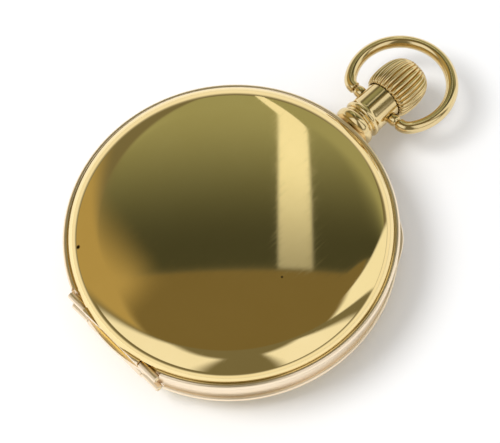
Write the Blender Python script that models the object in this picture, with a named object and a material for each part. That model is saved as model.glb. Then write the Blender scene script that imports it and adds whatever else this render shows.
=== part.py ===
"""Hunter pocket watch: a lidded gold case with its pendant, bow and crown, and the keyless lever movement.

Metres, +Z up. The watch lies on its back cover with the front lid on top. The origin is the middle of
the flat that the back cover rests on, X runs from the hinges to the pendant, and 12 o'clock is at +Y.
"""

import math

import bmesh
import bpy
from mathutils import Vector
from mathutils.geometry import tessellate_polygon

for old_object in list(bpy.data.objects):
    bpy.data.objects.remove(old_object)

# Case covers
CASE_RADIUS = 0.0252
BEAD_WIDTH = 0.0012
COVER_WALL = 0.0005
DOME_CURVE_RADIUS = 0.170
SHOULDER_WIDTH = 0.0030
SHOULDER_SLOPE = math.radians(76)
REST_FLAT_DEPTH = 0.0003
REST_FLAT_RADIUS = 0.0143
BEAD_HEIGHT = 0.00095
BEAD_ROUND = 0.00035
COVER_GAP = 0.0001
LIP_REACH = 0.00075
LIP_ANGLE = math.radians(-43)
LIP_HALF_SPAN = math.radians(13)

# Case band
BAND_HEIGHT = 0.0036
BAND_WALL = 0.0024
BEAD_OVERHANG = 0.0004
LEDGE_HEIGHT = 0.0013
LEDGE_THICKNESS = 0.0008
LEDGE_WIDTH = 0.0032

# Hinges
HINGE_INSET = 0.0003
KNUCKLE_RADIUS = 0.00065
HINGE_BORE_RADIUS = 0.00040
HINGE_PIN_CLEARANCE = 0.00005
HINGE_HALF_LENGTH = 0.0094
MIDDLE_KNUCKLE_HALF = 0.00585
CUVETTE_KNUCKLE_HALF = 0.0015
KNUCKLE_GAP = 0.0001
SLOT_HEADROOM = 0.0003
CUVETTE_THICKNESS = 0.0004
CUVETTE_BACK_GAP = 0.0005
CUVETTE_SEAT = 0.0005
CUVETTE_DOME_RISE = 0.0012
CUVETTE_SKIRT = 0.0025

# Bezel and crystal
BEZEL_OVERLAP = 0.0005
BEZEL_SKIRT_DEPTH = 0.0007
BEZEL_SKIRT_WALL = 0.0006
BEZEL_LIP = 0.0008
CRYSTAL_THICKNESS = 0.0007
CRYSTAL_RISE = 0.0015
FIT_GAP = 0.00007

# Pendant, bow and crown
PENDANT_ROOT_RADIUS = 0.0016
PENDANT_BASE_RADIUS = 0.00345
PENDANT_FOOT_RADIUS = 0.0027
PENDANT_GROOVE_RADIUS = 0.00275
PENDANT_RING_RADIUS = 0.00325
PENDANT_COLLAR_LENGTH = 0.0021
PENDANT_GROOVE_WIDTH = 0.0004
PENDANT_RING_LENGTH = 0.0011
PENDANT_BORE_START = 0.0016
PENDANT_NECK_RADIUS = 0.0031
PENDANT_LENGTH = 0.0087
PENDANT_BORE_RADIUS = 0.0020
BOW_RING_RADIUS = 0.0081
BOW_WIRE_RADIUS = 0.0010
BOW_PIN_RADIUS = 0.00045
BOW_PIVOT_SETBACK = 0.0024
BOW_RING_SETOUT = 0.0055
BOSS_RADIUS = 0.0010
BOSS_LENGTH = 0.0014
CROWN_RADIUS = 0.00415
CROWN_LENGTH = 0.0075
CROWN_FLUTES = 30
CROWN_FLUTE_DEPTH = 0.0003
CROWN_RECESS = 0.0015
CROWN_OVERLAP = 0.0007
SHANK_RADIUS = 0.0014
STEM_RADIUS = 0.00055
STEM_CLEARANCE = 0.0001
BOSS_EDGE_ROUND = 0.0003
BOSS_FLOOR = 0.0004
BOW_PIN_SETIN = 0.0005
BOW_SHOULDER_GAP = 0.0001
BOW_BEND_START = 0.0004
BOW_BEND_CORNER = 0.0012
BOW_JOIN_ANGLE = math.radians(125)
SHANK_DEPTH = 0.0045
SHANK_WELD = 0.0005
SOCKET_DEPTH = 0.0060
STEM_SETIN = 0.0010
SOCKET_HEADROOM = 0.0008
STEM_TAIL = 0.0002
CLUTCH_GAP = 0.0001

# Movement plates
SPRING_ROOM = 0.0016
PLATE_THICKNESS = 0.0013
PLATE_RIM_HEIGHT = 0.0009
PLATE_RIM_WIDTH = 0.0011
TRAIN_ROOM = 0.0020
BRIDGE_THICKNESS = 0.0008
BRIDGE_EDGE_GAP = 0.0004
FOOT_RADIUS = 0.0012
FOOT_SETBACK = 0.0021
SEAT_GAP = 0.00005
SCREW_SHANK_RADIUS = 0.00045
SCREW_HEAD_RADIUS = 0.0009
SCREW_HEAD_HEIGHT = 0.0004
SCREW_SLOT_WIDTH = 0.00025
PIVOT_RADIUS = 0.00018
ARBOR_RADIUS = 0.00035
PIVOT_CLEARANCE = 0.00006
BRIDGE_SPLIT_ANGLE = math.radians(-28)

# Going train: tooth counts, tooth sizes and wheel heights above the bridges
BARREL_TEETH = 64
CENTRE_PINION_LEAVES = 8
BARREL_MODULE = 0.00022
CENTRE_TEETH = 64
THIRD_PINION_LEAVES = 8
CENTRE_MODULE = 0.00018
THIRD_TEETH = 60
FOURTH_PINION_LEAVES = 8
THIRD_MODULE = 0.000158
FOURTH_TEETH = 60
ESCAPE_PINION_LEAVES = 6
FOURTH_MODULE = 0.00014
TOOTH_TIP = 0.35
TOOTH_ROOT = 0.90
BARREL_ANGLE = math.radians(60)
SECONDS_OFFSET = 0.0095
ESCAPE_ANGLE = math.radians(173.8)
BALANCE_DIRECTION = math.radians(130.5)
ESCAPE_TO_PALLET = 0.0027
PALLET_TO_BALANCE = 0.0043
ESCAPE_TEETH = 15
ESCAPE_RADIUS = 0.0023
WHEEL_THICKNESS = 0.00025
BARREL_RISE = 0.00015
BARREL_HEIGHT = 0.0012
BARREL_WALL = 0.0004
CENTRE_WHEEL_RISE = 0.0015
THIRD_WHEEL_RISE = 0.0003
FOURTH_WHEEL_RISE = 0.00095
ESCAPE_WHEEL_RISE = 0.00145
BALANCE_RISE = 0.0005
BALANCE_RADIUS = 0.0061
BALANCE_RIM = 0.0007
BALANCE_THICKNESS = 0.0005
HAIRSPRING_RISE = 0.00015
HAIRSPRING_TURNS = 5
HAIRSPRING_PITCH = 0.00052
HAIRSPRING_STRIP = 0.00006
HAIRSPRING_HEIGHT = 0.0002
COLLET_RADIUS = 0.0006
MAINSPRING_TURNS = 6
MAINSPRING_STRIP = 0.00015
MAINSPRING_HEIGHT = 0.0005
BARREL_ARBOR_RADIUS = 0.0011
PALLET_COCK_RISE = 0.0011
PALLET_COCK_LENGTH = 0.0058
REGULATOR_THICKNESS = 0.0003

# Keyless work
WINDING_MODULE = 0.0003
RATCHET_TEETH = 46
CROWN_WHEEL_TEETH = 32
CONTRATE_TEETH = 24
CONTRATE_RADIUS = 0.0031
CONTRATE_WALL = 0.0005
WINDING_PINION_LEAVES = 12
WINDING_PINION_RADIUS = 0.0017
WINDING_PINION_LENGTH = 0.0010
CLUTCH_RADIUS = 0.0012
CLUTCH_LENGTH = 0.0009
WINDING_WHEEL_THICKNESS = 0.00035
CONTRATE_MESH = 0.00015

# Dial side
CANNON_TEETH = 12
MINUTE_TEETH = 36
MINUTE_PINION_LEAVES = 10
HOUR_TEETH = 40
CANNON_MODULE = 0.00015
DIAL_THICKNESS = 0.00045
HAND_THICKNESS = 0.00015
SECOND_HAND_RISE = 0.00015
HOUR_HAND_RISE = 0.00035
MINUTE_HAND_RISE = 0.0006
HOUR_HAND_LENGTH = 0.0112
MINUTE_HAND_LENGTH = 0.0162
SECOND_HAND_LENGTH = 0.0042
CANNON_RADIUS = 0.0007
HOUR_TUBE_RADIUS = 0.0013

# How far a cut runs past what it cuts
CUT_MARGIN = 0.001

# Facet counts
CASE_SIDES = 44
ROUND_SIDES = 20
RING_SIDES = 32
SMALL_SIDES = 8
SPRING_POINTS_PER_TURN = 16
FILL_SCALE = 1000.0
SHARP_ANGLE = math.radians(35)

# Finishes: colour, metallic, roughness
GOLD = ((0.72, 0.50, 0.20), 1.0, 0.12)
STEEL = ((0.55, 0.56, 0.58), 1.0, 0.25)
BLUED = ((0.05, 0.08, 0.30), 1.0, 0.25)
BRASS = ((0.70, 0.55, 0.25), 1.0, 0.25)
GILT = ((0.78, 0.62, 0.32), 1.0, 0.35)
ENAMEL = ((0.92, 0.91, 0.87), 0.0, 0.15)
CLEAR = ((0.95, 0.97, 0.97), 0.0, 0.03)

# Heights of the case, worked out from the bottom up
CREASE_RADIUS = CASE_RADIUS - BEAD_WIDTH
DOME_RADIUS_START = CREASE_RADIUS - SHOULDER_WIDTH
DOME_START_SLOPE = math.asin(DOME_RADIUS_START / DOME_CURVE_RADIUS)
SHOULDER_RADIUS = SHOULDER_WIDTH / (math.sin(SHOULDER_SLOPE) - math.sin(DOME_START_SLOPE))
SHOULDER_CENTRE = DOME_RADIUS_START - SHOULDER_RADIUS * math.sin(DOME_START_SLOPE)
DOME_DROP = DOME_CURVE_RADIUS * (1 - math.cos(DOME_START_SLOPE))
SHOULDER_DROP = SHOULDER_RADIUS * (math.cos(DOME_START_SLOPE) - math.cos(SHOULDER_SLOPE))
DOME_HEIGHT = DOME_DROP + SHOULDER_DROP
BACK_CREASE_Z = DOME_HEIGHT - REST_FLAT_DEPTH
BACK_BEAD_TOP = BACK_CREASE_Z + BEAD_HEIGHT
BAND_LOW = BACK_BEAD_TOP + COVER_GAP
BAND_TOP = BAND_LOW + BAND_HEIGHT
LID_LOW = BAND_TOP + COVER_GAP
LID_CREASE_Z = LID_LOW + BEAD_HEIGHT
BAND_RADIUS = CASE_RADIUS - BEAD_OVERHANG
BAND_BORE = BAND_RADIUS - BAND_WALL
LEDGE_BORE = BAND_BORE - LEDGE_WIDTH
LEDGE_TOP = BAND_LOW + LEDGE_HEIGHT
HINGE_X = -(CREASE_RADIUS - HINGE_INSET)
LID_AXIS_Z = (BAND_TOP + LID_LOW) / 2
BACK_AXIS_Z = (BACK_BEAD_TOP + BAND_LOW) / 2
PENDANT_Z = (BAND_LOW + BAND_TOP) / 2
COVER_BORE = CREASE_RADIUS - COVER_WALL * math.sin(SHOULDER_SLOPE)
KNUCKLE_ROOM = KNUCKLE_RADIUS + KNUCKLE_GAP
BORE_HALF_LENGTH = 2 * HINGE_HALF_LENGTH

# Heights of the movement
PLATE_RADIUS = BAND_BORE - SPRING_ROOM
BRIDGE_RADIUS = LEDGE_BORE - BRIDGE_EDGE_GAP
FOOT_CIRCLE_RADIUS = LEDGE_BORE - FOOT_SETBACK
PLATE_LOW = LEDGE_TOP + SEAT_GAP
PLATE_TOP = PLATE_LOW + PLATE_THICKNESS
RIM_TOP = PLATE_TOP + PLATE_RIM_HEIGHT
BRIDGE_TOP = PLATE_LOW - TRAIN_ROOM
BRIDGE_LOW = BRIDGE_TOP - BRIDGE_THICKNESS
WINDING_TOP = BRIDGE_LOW - 2 * SEAT_GAP
WINDING_LOW = WINDING_TOP - WINDING_WHEEL_THICKNESS
DIAL_LOW = RIM_TOP + SEAT_GAP
DIAL_TOP = DIAL_LOW + DIAL_THICKNESS
HOLE_DEPTH = PLATE_THICKNESS * 0.7


def polar(radius, angle, centre=(0.0, 0.0)):
    return (centre[0] + radius * math.cos(angle), centre[1] + radius * math.sin(angle))


def pitch_radius(teeth, module):
    return teeth * module / 2


# Places of the arbors
CENTRE = (0.0, 0.0)
BARREL_DISTANCE = pitch_radius(BARREL_TEETH + CENTRE_PINION_LEAVES, BARREL_MODULE)
BARREL = polar(BARREL_DISTANCE, BARREL_ANGLE)
FOURTH = (0.0, -SECONDS_OFFSET)
CENTRE_TO_THIRD = pitch_radius(CENTRE_TEETH + THIRD_PINION_LEAVES, CENTRE_MODULE)
THIRD_TO_FOURTH = pitch_radius(THIRD_TEETH + FOURTH_PINION_LEAVES, THIRD_MODULE)
THIRD_DROP = (CENTRE_TO_THIRD**2 + SECONDS_OFFSET**2 - THIRD_TO_FOURTH**2) / (2 * SECONDS_OFFSET)
THIRD = (math.sqrt(CENTRE_TO_THIRD**2 - THIRD_DROP**2), -THIRD_DROP)
ESCAPE_DISTANCE = pitch_radius(FOURTH_TEETH + ESCAPE_PINION_LEAVES, FOURTH_MODULE)
ESCAPE = polar(ESCAPE_DISTANCE, ESCAPE_ANGLE, FOURTH)
PALLET = polar(ESCAPE_TO_PALLET, BALANCE_DIRECTION, ESCAPE)
BALANCE = polar(PALLET_TO_BALANCE, BALANCE_DIRECTION, PALLET)
WINDING_DISTANCE = pitch_radius(RATCHET_TEETH + CROWN_WHEEL_TEETH, WINDING_MODULE)
CROWN_WHEEL = (BARREL[0] + math.sqrt(WINDING_DISTANCE**2 - BARREL[1] ** 2), 0.0)
MINUTE_DISTANCE = pitch_radius(CANNON_TEETH + MINUTE_TEETH, CANNON_MODULE)
MINUTE_WHEEL = polar(MINUTE_DISTANCE, math.radians(150))
MINUTE_PINION_MODULE = 2 * MINUTE_DISTANCE / (MINUTE_PINION_LEAVES + HOUR_TEETH)
WINDING_PINION_X = CROWN_WHEEL[0] + CONTRATE_RADIUS
STEM_SLOT_HALF = WINDING_PINION_RADIUS + 0.00025
SLOT_END_X = CROWN_WHEEL[0] + 0.001
PENDANT_ROOT_X = BAND_RADIUS + SEAT_GAP
PENDANT_BASE_X = CASE_RADIUS + 2 * COVER_GAP
PENDANT_END_X = PENDANT_BASE_X + PENDANT_LENGTH
BOW_PIVOT_X = PENDANT_END_X - BOW_PIVOT_SETBACK
BOW_CENTRE_X = BOW_PIVOT_X + BOW_RING_SETOUT
CROWN_X = PENDANT_END_X - CROWN_OVERLAP
COCK_ANGLE = math.atan2(BALANCE[1], BALANCE[0])
COCK_FOOT = polar(math.hypot(*BALANCE) + BALANCE_RADIUS + FOOT_RADIUS + 0.0004, COCK_ANGLE)


def finish_material(name, finish):
    """The material of one piece, from its colour, metallic value and roughness."""
    colour, metallic, roughness = finish
    made = bpy.data.materials.new(name + "_finish")
    made.use_nodes = True
    shader = made.node_tree.nodes["Principled BSDF"]
    shader.inputs["Base Color"].default_value = (*colour, 1.0)
    shader.inputs["Metallic"].default_value = metallic
    shader.inputs["Roughness"].default_value = roughness
    made.diffuse_color = (*colour, 1.0)
    return made


def add_solid(name, shape, finish=None, origin=(0.0, 0.0, 0.0)):
    """Adds an object from points and faces in world space, with its origin where its joint needs it."""
    points, faces = shape
    start = Vector(origin)
    mesh = bpy.data.meshes.new(name)
    mesh.from_pydata([Vector(point) - start for point in points], [], faces)
    work = bmesh.new()
    work.from_mesh(mesh)
    bmesh.ops.recalc_face_normals(work, faces=work.faces)
    work.to_mesh(mesh)
    work.free()
    mesh.shade_smooth()
    mesh.set_sharp_from_angle(angle=SHARP_ANGLE)
    made = bpy.data.objects.new(name, mesh)
    made.location = start
    bpy.context.scene.collection.objects.link(made)
    if finish:
        mesh.materials.append(finish_material(name, finish))
    return made


def combine(target, operation, shape, label):
    """Joins a helper shape to an object, or cuts it out, with a Boolean."""
    helper = add_solid(target.name + "." + label, shape)
    helper.hide_render = True
    helper.display_type = "WIRE"
    step = target.modifiers.new(label, "BOOLEAN")
    step.operation = operation
    step.solver = "EXACT"
    step.object = helper


def together(*shapes):
    """Several separate shapes as one list of points and faces."""
    points = []
    faces = []
    for more_points, more_faces in shapes:
        first = len(points)
        points.extend(more_points)
        faces.extend([first + index for index in face] for face in more_faces)
    return points, faces


def turned(profile, sides, axis="Z", centre=(0.0, 0.0, 0.0), start=0.0):
    """A closed profile of (radius, height) turned about an axis through a centre."""
    points = []
    rings = []

    def place(radius, height, angle):
        across = radius * math.cos(angle)
        up = radius * math.sin(angle)
        offset = {"X": (height, across, up), "Y": (up, height, across), "Z": (across, up, height)}[axis]
        points.append(tuple(a + b for a, b in zip(centre, offset)))

    for radius, height in profile:
        first = len(points)
        count = 1 if radius == 0 else sides
        rings.append([first + step for step in range(count)])
        for step in range(count):
            place(radius, height, start + 2 * math.pi * step / sides)
    faces = []
    for low, high in zip(rings, rings[1:] + rings[:1]):
        if len(low) == 1 and len(high) == 1:
            continue
        for step in range(sides):
            after = (step + 1) % sides
            corners = (low[step % len(low)], low[after % len(low)])
            corners += (high[after % len(high)], high[step % len(high)])
            faces.append(list(dict.fromkeys(corners)))
    return points, faces


def rod(radius, low, high, sides=SMALL_SIDES, axis="Z", centre=(0.0, 0.0, 0.0), bore=0.0):
    """A plain round bar, or a tube where a bore is given."""
    if bore:
        profile = [(bore, low), (radius, low), (radius, high), (bore, high)]
    else:
        profile = [(0.0, low), (radius, low), (radius, high), (0.0, high)]
    return turned(profile, sides, axis, centre, math.pi / sides)


def spindle(place, steps, sides=SMALL_SIDES):
    """An arbor of (radius, low, high) lengths that follow one another."""
    profile = [(0.0, steps[0][1])]
    for radius, low, high in steps:
        profile += [(radius, low), (radius, high)]
    profile.append((0.0, steps[-1][2]))
    return turned(profile, sides, "Z", (place[0], place[1], 0.0))


def block(low, high):
    (x0, y0, z0), (x1, y1, z1) = low, high
    return prism([[(x0, y0), (x1, y0), (x1, y1), (x0, y1)]], z0, z1)


def circle(radius, centre=(0.0, 0.0), sides=SMALL_SIDES, start=0.0):
    return [polar(radius, start + 2 * math.pi * step / sides, centre) for step in range(sides)]


def arc(radius, start, end, steps, centre=(0.0, 0.0)):
    return [polar(radius, start + (end - start) * step / steps, centre) for step in range(steps + 1)]


def prism(loops, low, high):
    """A flat outline, with any holes after it, raised from one height to another."""
    flat = [[Vector((x * FILL_SCALE, y * FILL_SCALE, 0.0)) for x, y in loop] for loop in loops]
    triangles = tessellate_polygon(flat)
    ring = [point for loop in loops for point in loop]
    count = len(ring)
    points = [(x, y, low) for x, y in ring] + [(x, y, high) for x, y in ring]
    faces = [list(corner) for corner in triangles]
    faces += [[index + count for index in corner] for corner in triangles]
    first = 0
    for loop in loops:
        for step in range(len(loop)):
            here = first + step
            after = first + (step + 1) % len(loop)
            faces.append([here, after, after + count, here + count])
        first += len(loop)
    return points, faces


def gear_loop(teeth, module, centre, phase, land=0.0):
    """A toothed outline: each tooth has a tip, of some land on pinions, and a root between teeth."""
    pitch = pitch_radius(teeth, module)
    step = 2 * math.pi / teeth
    loop = []
    for tooth in range(teeth):
        middle = phase + tooth * step
        if land:
            loop.append(polar(pitch + TOOTH_TIP * module, middle - land * step, centre))
            loop.append(polar(pitch + TOOTH_TIP * module, middle + land * step, centre))
        else:
            loop.append(polar(pitch + TOOTH_TIP * module, middle, centre))
        loop.append(polar(pitch - TOOTH_ROOT * module, middle + step / 2, centre))
    return loop


def meshed(phase, teeth, place, other_teeth, other_place):
    """The phase that puts the other gear's gap at this gear's tooth on their line of centres."""
    direction = math.atan2(other_place[1] - place[1], other_place[0] - place[0])
    step = 2 * math.pi / teeth
    other_step = 2 * math.pi / other_teeth
    lead = ((phase - direction) % step) / step
    return direction + math.pi - lead * other_step + other_step / 2


def windows(count, inner, outer, spoke, centre):
    """The openings between a wheel's spokes."""
    loops = []
    for index in range(count):
        start = 2 * math.pi * index / count
        end = start + 2 * math.pi / count
        loop = arc(outer, start + spoke / (2 * outer), end - spoke / (2 * outer), 3, centre)
        loop += arc(inner, end - spoke / (2 * inner), start + spoke / (2 * inner), 1, centre)
        loops.append(loop)
    return loops


def swept(path, section):
    """A flat path in X and Y with a section of (sideways, up) points at each step, and closed ends."""
    points = []
    for index, (x, y) in enumerate(path):
        before = path[max(index - 1, 0)]
        after = path[min(index + 1, len(path) - 1)]
        length = math.hypot(after[0] - before[0], after[1] - before[1])
        side = (-(after[1] - before[1]) / length, (after[0] - before[0]) / length)
        points += [(x + side[0] * s, y + side[1] * s, z) for s, z in section(index)]
    width = len(section(0))
    faces = []
    for index in range(len(path) - 1):
        for corner in range(width):
            here = index * width + corner
            after = index * width + (corner + 1) % width
            faces.append([here, after, after + width, here + width])
    faces.append(list(range(width)))
    faces.append(list(range(len(points) - width, len(points))))
    return points, faces


def spiral(centre, inner, pitch, turns, end_angle):
    """Points of a flat spiral that ends at an angle, from the inside out."""
    steps = turns * SPRING_POINTS_PER_TURN
    path = []
    for step in range(steps + 1):
        turn = step / SPRING_POINTS_PER_TURN
        path.append(polar(inner + pitch * turn, end_angle + 2 * math.pi * (turn - turns), centre))
    return path


def ribbon(path, strip, low, height):
    section = [(-strip / 2, low), (strip / 2, low), (strip / 2, low + height), (-strip / 2, low + height)]
    return swept(path, lambda index: section)


def print_least_gap(label, path, strip):
    """Measures how near a spring's turns come to one another."""
    apart = SPRING_POINTS_PER_TURN // 2
    least = min(
        math.dist(path[i], path[j]) for i in range(len(path)) for j in range(i + apart, len(path))
    )
    print(f"{label}: least gap between turns {(least - strip) * 1000:.2f} mm")


def cover_profile(crease, side):
    """Half section of a domed cover: side +1 rises from its bead, and -1 hangs below it."""

    def at(radius, rise):
        return (radius, crease + side * rise)

    def shoulder(angle, depth):
        rise = DOME_HEIGHT - DOME_DROP - SHOULDER_RADIUS * math.cos(DOME_START_SLOPE)
        reach = SHOULDER_RADIUS - depth
        return at(SHOULDER_CENTRE + reach * math.sin(angle), rise + reach * math.cos(angle))

    def dome(radius, depth):
        curve = DOME_CURVE_RADIUS - depth
        return at(radius, DOME_HEIGHT - DOME_CURVE_RADIUS + math.sqrt(curve**2 - radius**2))

    slopes = [DOME_START_SLOPE + (SHOULDER_SLOPE - DOME_START_SLOPE) * k / 4 for k in range(1, 5)]
    outer = [at(0.0, DOME_HEIGHT)]
    outer += [dome(DOME_RADIUS_START * share, 0.0) for share in (0.5, 0.78, 1.0)]
    outer += [shoulder(slope, 0.0) for slope in slopes]
    bead = [at(CREASE_RADIUS + BEAD_ROUND, BEAD_ROUND * 0.4), at(CASE_RADIUS - BEAD_ROUND, BEAD_ROUND * 0.2)]
    bead += [at(CASE_RADIUS, -BEAD_ROUND), at(CASE_RADIUS, -BEAD_HEIGHT), at(COVER_BORE, -BEAD_HEIGHT)]
    inner = [shoulder(slope, COVER_WALL) for slope in reversed(slopes[1::2])]
    inner += [dome(DOME_RADIUS_START * share, COVER_WALL) for share in (1.0, 0.6)]
    return outer + bead + inner + [at(0.0, DOME_HEIGHT - COVER_WALL)]


def hinge_rod(radius, low, high, axis_z):
    return rod(radius, low, high, SMALL_SIDES, "Y", (HINGE_X, 0.0, axis_z))


def both_ends(radius, low, high, axis_z):
    return together(hinge_rod(radius, low, high, axis_z), hinge_rod(radius, -high, -low, axis_z))


def cut_hinge_slots(cover, axis_z):
    """Room in a cover for the band's knuckles, and the straight edge along the cover's own."""
    low = MIDDLE_KNUCKLE_HALF + 0.2 * KNUCKLE_GAP
    high = HINGE_HALF_LENGTH + KNUCKLE_GAP
    outside = -CASE_RADIUS - KNUCKLE_RADIUS
    inside = HINGE_X + KNUCKLE_ROOM
    tall = BEAD_HEIGHT + SLOT_HEADROOM
    edge = HINGE_X - KNUCKLE_RADIUS + SEAT_GAP
    straight = block((outside, -low - KNUCKLE_GAP, axis_z - tall), (edge, low + KNUCKLE_GAP, axis_z + tall))
    combine(cover, "DIFFERENCE", straight, "straight_edge")
    for label, first, last in (("left_slot", low, high), ("right_slot", -high, -low)):
        slot = block((outside, first, axis_z - tall), (inside, last, axis_z + tall))
        combine(cover, "DIFFERENCE", slot, label)


def make_covers():
    """Front lid, back cover and the inner dust cover, on two hinges at the edge of the band."""
    bore = hinge_rod(HINGE_BORE_RADIUS, -BORE_HALF_LENGTH, BORE_HALF_LENGTH, LID_AXIS_Z)
    lid_axis = (HINGE_X, 0.0, LID_AXIS_Z)
    lid = add_solid("front_lid", turned(cover_profile(LID_CREASE_Z, 1), CASE_SIDES), GOLD, lid_axis)
    cut_hinge_slots(lid, LID_AXIS_Z)
    knuckle = hinge_rod(KNUCKLE_RADIUS, -MIDDLE_KNUCKLE_HALF, MIDDLE_KNUCKLE_HALF, LID_AXIS_Z)
    combine(lid, "UNION", knuckle, "knuckle")
    combine(lid, "DIFFERENCE", bore, "bore")

    back_axis = (HINGE_X, 0.0, BACK_AXIS_Z)
    back_bore = hinge_rod(HINGE_BORE_RADIUS, -BORE_HALF_LENGTH, BORE_HALF_LENGTH, BACK_AXIS_Z)
    profile = cover_profile(BACK_CREASE_Z, -1)
    inside = [point for point in profile[13:] if point[1] <= BACK_BEAD_TOP]
    outside = [(0.0, 0.0), (REST_FLAT_RADIUS, 0.0)] + profile[3:13]
    inside = [(radius, max(height, COVER_WALL)) for radius, height in inside]
    back = add_solid("back_cover", turned(outside + inside, CASE_SIDES), GOLD, back_axis)
    cut_hinge_slots(back, BACK_AXIS_Z)
    notch_half = CUVETTE_KNUCKLE_HALF + 0.8 * KNUCKLE_GAP
    notch_low = BACK_AXIS_Z - KNUCKLE_ROOM
    notch_far = (HINGE_X + 0.0012, notch_half, BAND_LOW + CUT_MARGIN)
    notch = block((HINGE_X - 2 * CUT_MARGIN, -notch_half, notch_low), notch_far)
    combine(back, "DIFFERENCE", notch, "notch")
    inner_end = CUVETTE_KNUCKLE_HALF + KNUCKLE_GAP
    knuckles = both_ends(KNUCKLE_RADIUS, inner_end, MIDDLE_KNUCKLE_HALF, BACK_AXIS_Z)
    combine(back, "UNION", knuckles, "knuckles")
    combine(back, "DIFFERENCE", back_bore, "bore")
    steps = 8
    lip_outer = []
    for step in range(steps + 1):
        share = step / steps * 2 - 1
        reach = CASE_RADIUS + LIP_REACH * math.cos(share * math.pi / 2)
        lip_outer.append(polar(reach, LIP_ANGLE + share * LIP_HALF_SPAN))
    lip_inner = arc(CASE_RADIUS - BEAD_ROUND, LIP_ANGLE + LIP_HALF_SPAN, LIP_ANGLE - LIP_HALF_SPAN, steps)
    lip_low = BACK_BEAD_TOP - 0.65 * BEAD_HEIGHT
    lip = prism([lip_outer + lip_inner], lip_low, BACK_BEAD_TOP - 0.1 * BEAD_HEIGHT)
    combine(back, "UNION", lip, "thumb_lip")

    rim = BAND_BORE + CUVETTE_SEAT
    rim_top = BAND_LOW - COVER_GAP
    rim_low = rim_top - CUVETTE_THICKNESS
    middle = COVER_WALL + CUVETTE_BACK_GAP
    bend = rim - CUVETTE_SKIRT
    outside = [(0.0, middle), (bend * 0.6, middle + CUVETTE_DOME_RISE * 0.36)]
    outside += [(bend, middle + CUVETTE_DOME_RISE), (rim, rim_low)]
    inside = [(rim, rim_top), (BAND_BORE - 0.0006, rim_top)]
    for radius, height in outside[2::-1]:
        inside.append((radius - COVER_GAP if radius else 0.0, height + CUVETTE_THICKNESS))
    cuvette = add_solid("cuvette", turned(outside + inside, RING_SIDES), GOLD, back_axis)
    arm_half = CUVETTE_KNUCKLE_HALF - 0.00005
    arm = block((HINGE_X + 0.0004, -arm_half, rim_low), (-rim + 0.0008, arm_half, rim_top - 0.00005))
    combine(cuvette, "UNION", arm, "arm")
    knuckle = hinge_rod(KNUCKLE_RADIUS, -CUVETTE_KNUCKLE_HALF, CUVETTE_KNUCKLE_HALF, BACK_AXIS_Z)
    combine(cuvette, "UNION", knuckle, "knuckle")
    combine(cuvette, "DIFFERENCE", back_bore, "bore")

    pin_radius = HINGE_BORE_RADIUS - HINGE_PIN_CLEARANCE
    for name, axis_z in (("lid_hinge_pin", LID_AXIS_Z), ("back_hinge_pin", BACK_AXIS_Z)):
        add_solid(name, hinge_rod(pin_radius, -HINGE_HALF_LENGTH, HINGE_HALF_LENGTH, axis_z), GOLD)


MOVEMENT_SCREWS = [polar((LEDGE_BORE + PLATE_RADIUS) / 2, math.radians(angle)) for angle in (75, -75)]


def make_band():
    """Middle of the case: a ring with an inner ledge for the movement and knuckles for both hinges."""
    profile = [(BAND_RADIUS, BAND_LOW), (BAND_RADIUS, BAND_TOP), (BAND_BORE, BAND_TOP)]
    profile += [(BAND_BORE, LEDGE_TOP), (LEDGE_BORE, LEDGE_TOP), (LEDGE_BORE, LEDGE_TOP - LEDGE_THICKNESS)]
    profile += [(BAND_BORE, LEDGE_TOP - LEDGE_THICKNESS), (BAND_BORE, BAND_LOW)]
    band = add_solid("case_band", turned(profile, CASE_SIDES), GOLD)
    half = MIDDLE_KNUCKLE_HALF + 0.8 * KNUCKLE_GAP
    sweep = math.hypot(KNUCKLE_RADIUS, BEAD_HEIGHT + COVER_GAP) + KNUCKLE_GAP
    far = HINGE_X - 0.003
    cuts = [
        block((far, -half, LID_AXIS_Z - sweep), (HINGE_X, half, LID_AXIS_Z + sweep)),
        block((far, -half, BACK_AXIS_Z - sweep), (HINGE_X, half, BACK_AXIS_Z + sweep)),
    ]
    combine(band, "DIFFERENCE", together(*cuts), "cover_sweep")
    for label, axis_z in (("lid", LID_AXIS_Z), ("back", BACK_AXIS_Z)):
        combine(band, "DIFFERENCE", hinge_rod(KNUCKLE_ROOM, -half, half, axis_z), label + "_knuckle_room")
        ends = both_ends(KNUCKLE_RADIUS, MIDDLE_KNUCKLE_HALF + KNUCKLE_GAP, HINGE_HALF_LENGTH, axis_z)
        combine(band, "UNION", ends, label + "_knuckles")
        bore = hinge_rod(HINGE_BORE_RADIUS, -BORE_HALF_LENGTH, BORE_HALF_LENGTH, axis_z)
        combine(band, "DIFFERENCE", bore, label + "_bore")
    stem_bore = STEM_RADIUS + STEM_CLEARANCE
    stem_axis = (0.0, 0.0, PENDANT_Z)
    start = LEDGE_BORE - 2 * CUT_MARGIN
    stem_hole = rod(stem_bore, start, CASE_RADIUS + CUT_MARGIN, SMALL_SIDES, "X", stem_axis)
    combine(band, "DIFFERENCE", stem_hole, "stem_hole")
    low = BAND_LOW - CUT_MARGIN
    high = PLATE_LOW + CUT_MARGIN
    holes = [pin_hole(place, SCREW_SHANK_RADIUS + STEM_CLEARANCE, low, high) for place in MOVEMENT_SCREWS]
    combine(band, "DIFFERENCE", together(*holes), "screw_holes")


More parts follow.
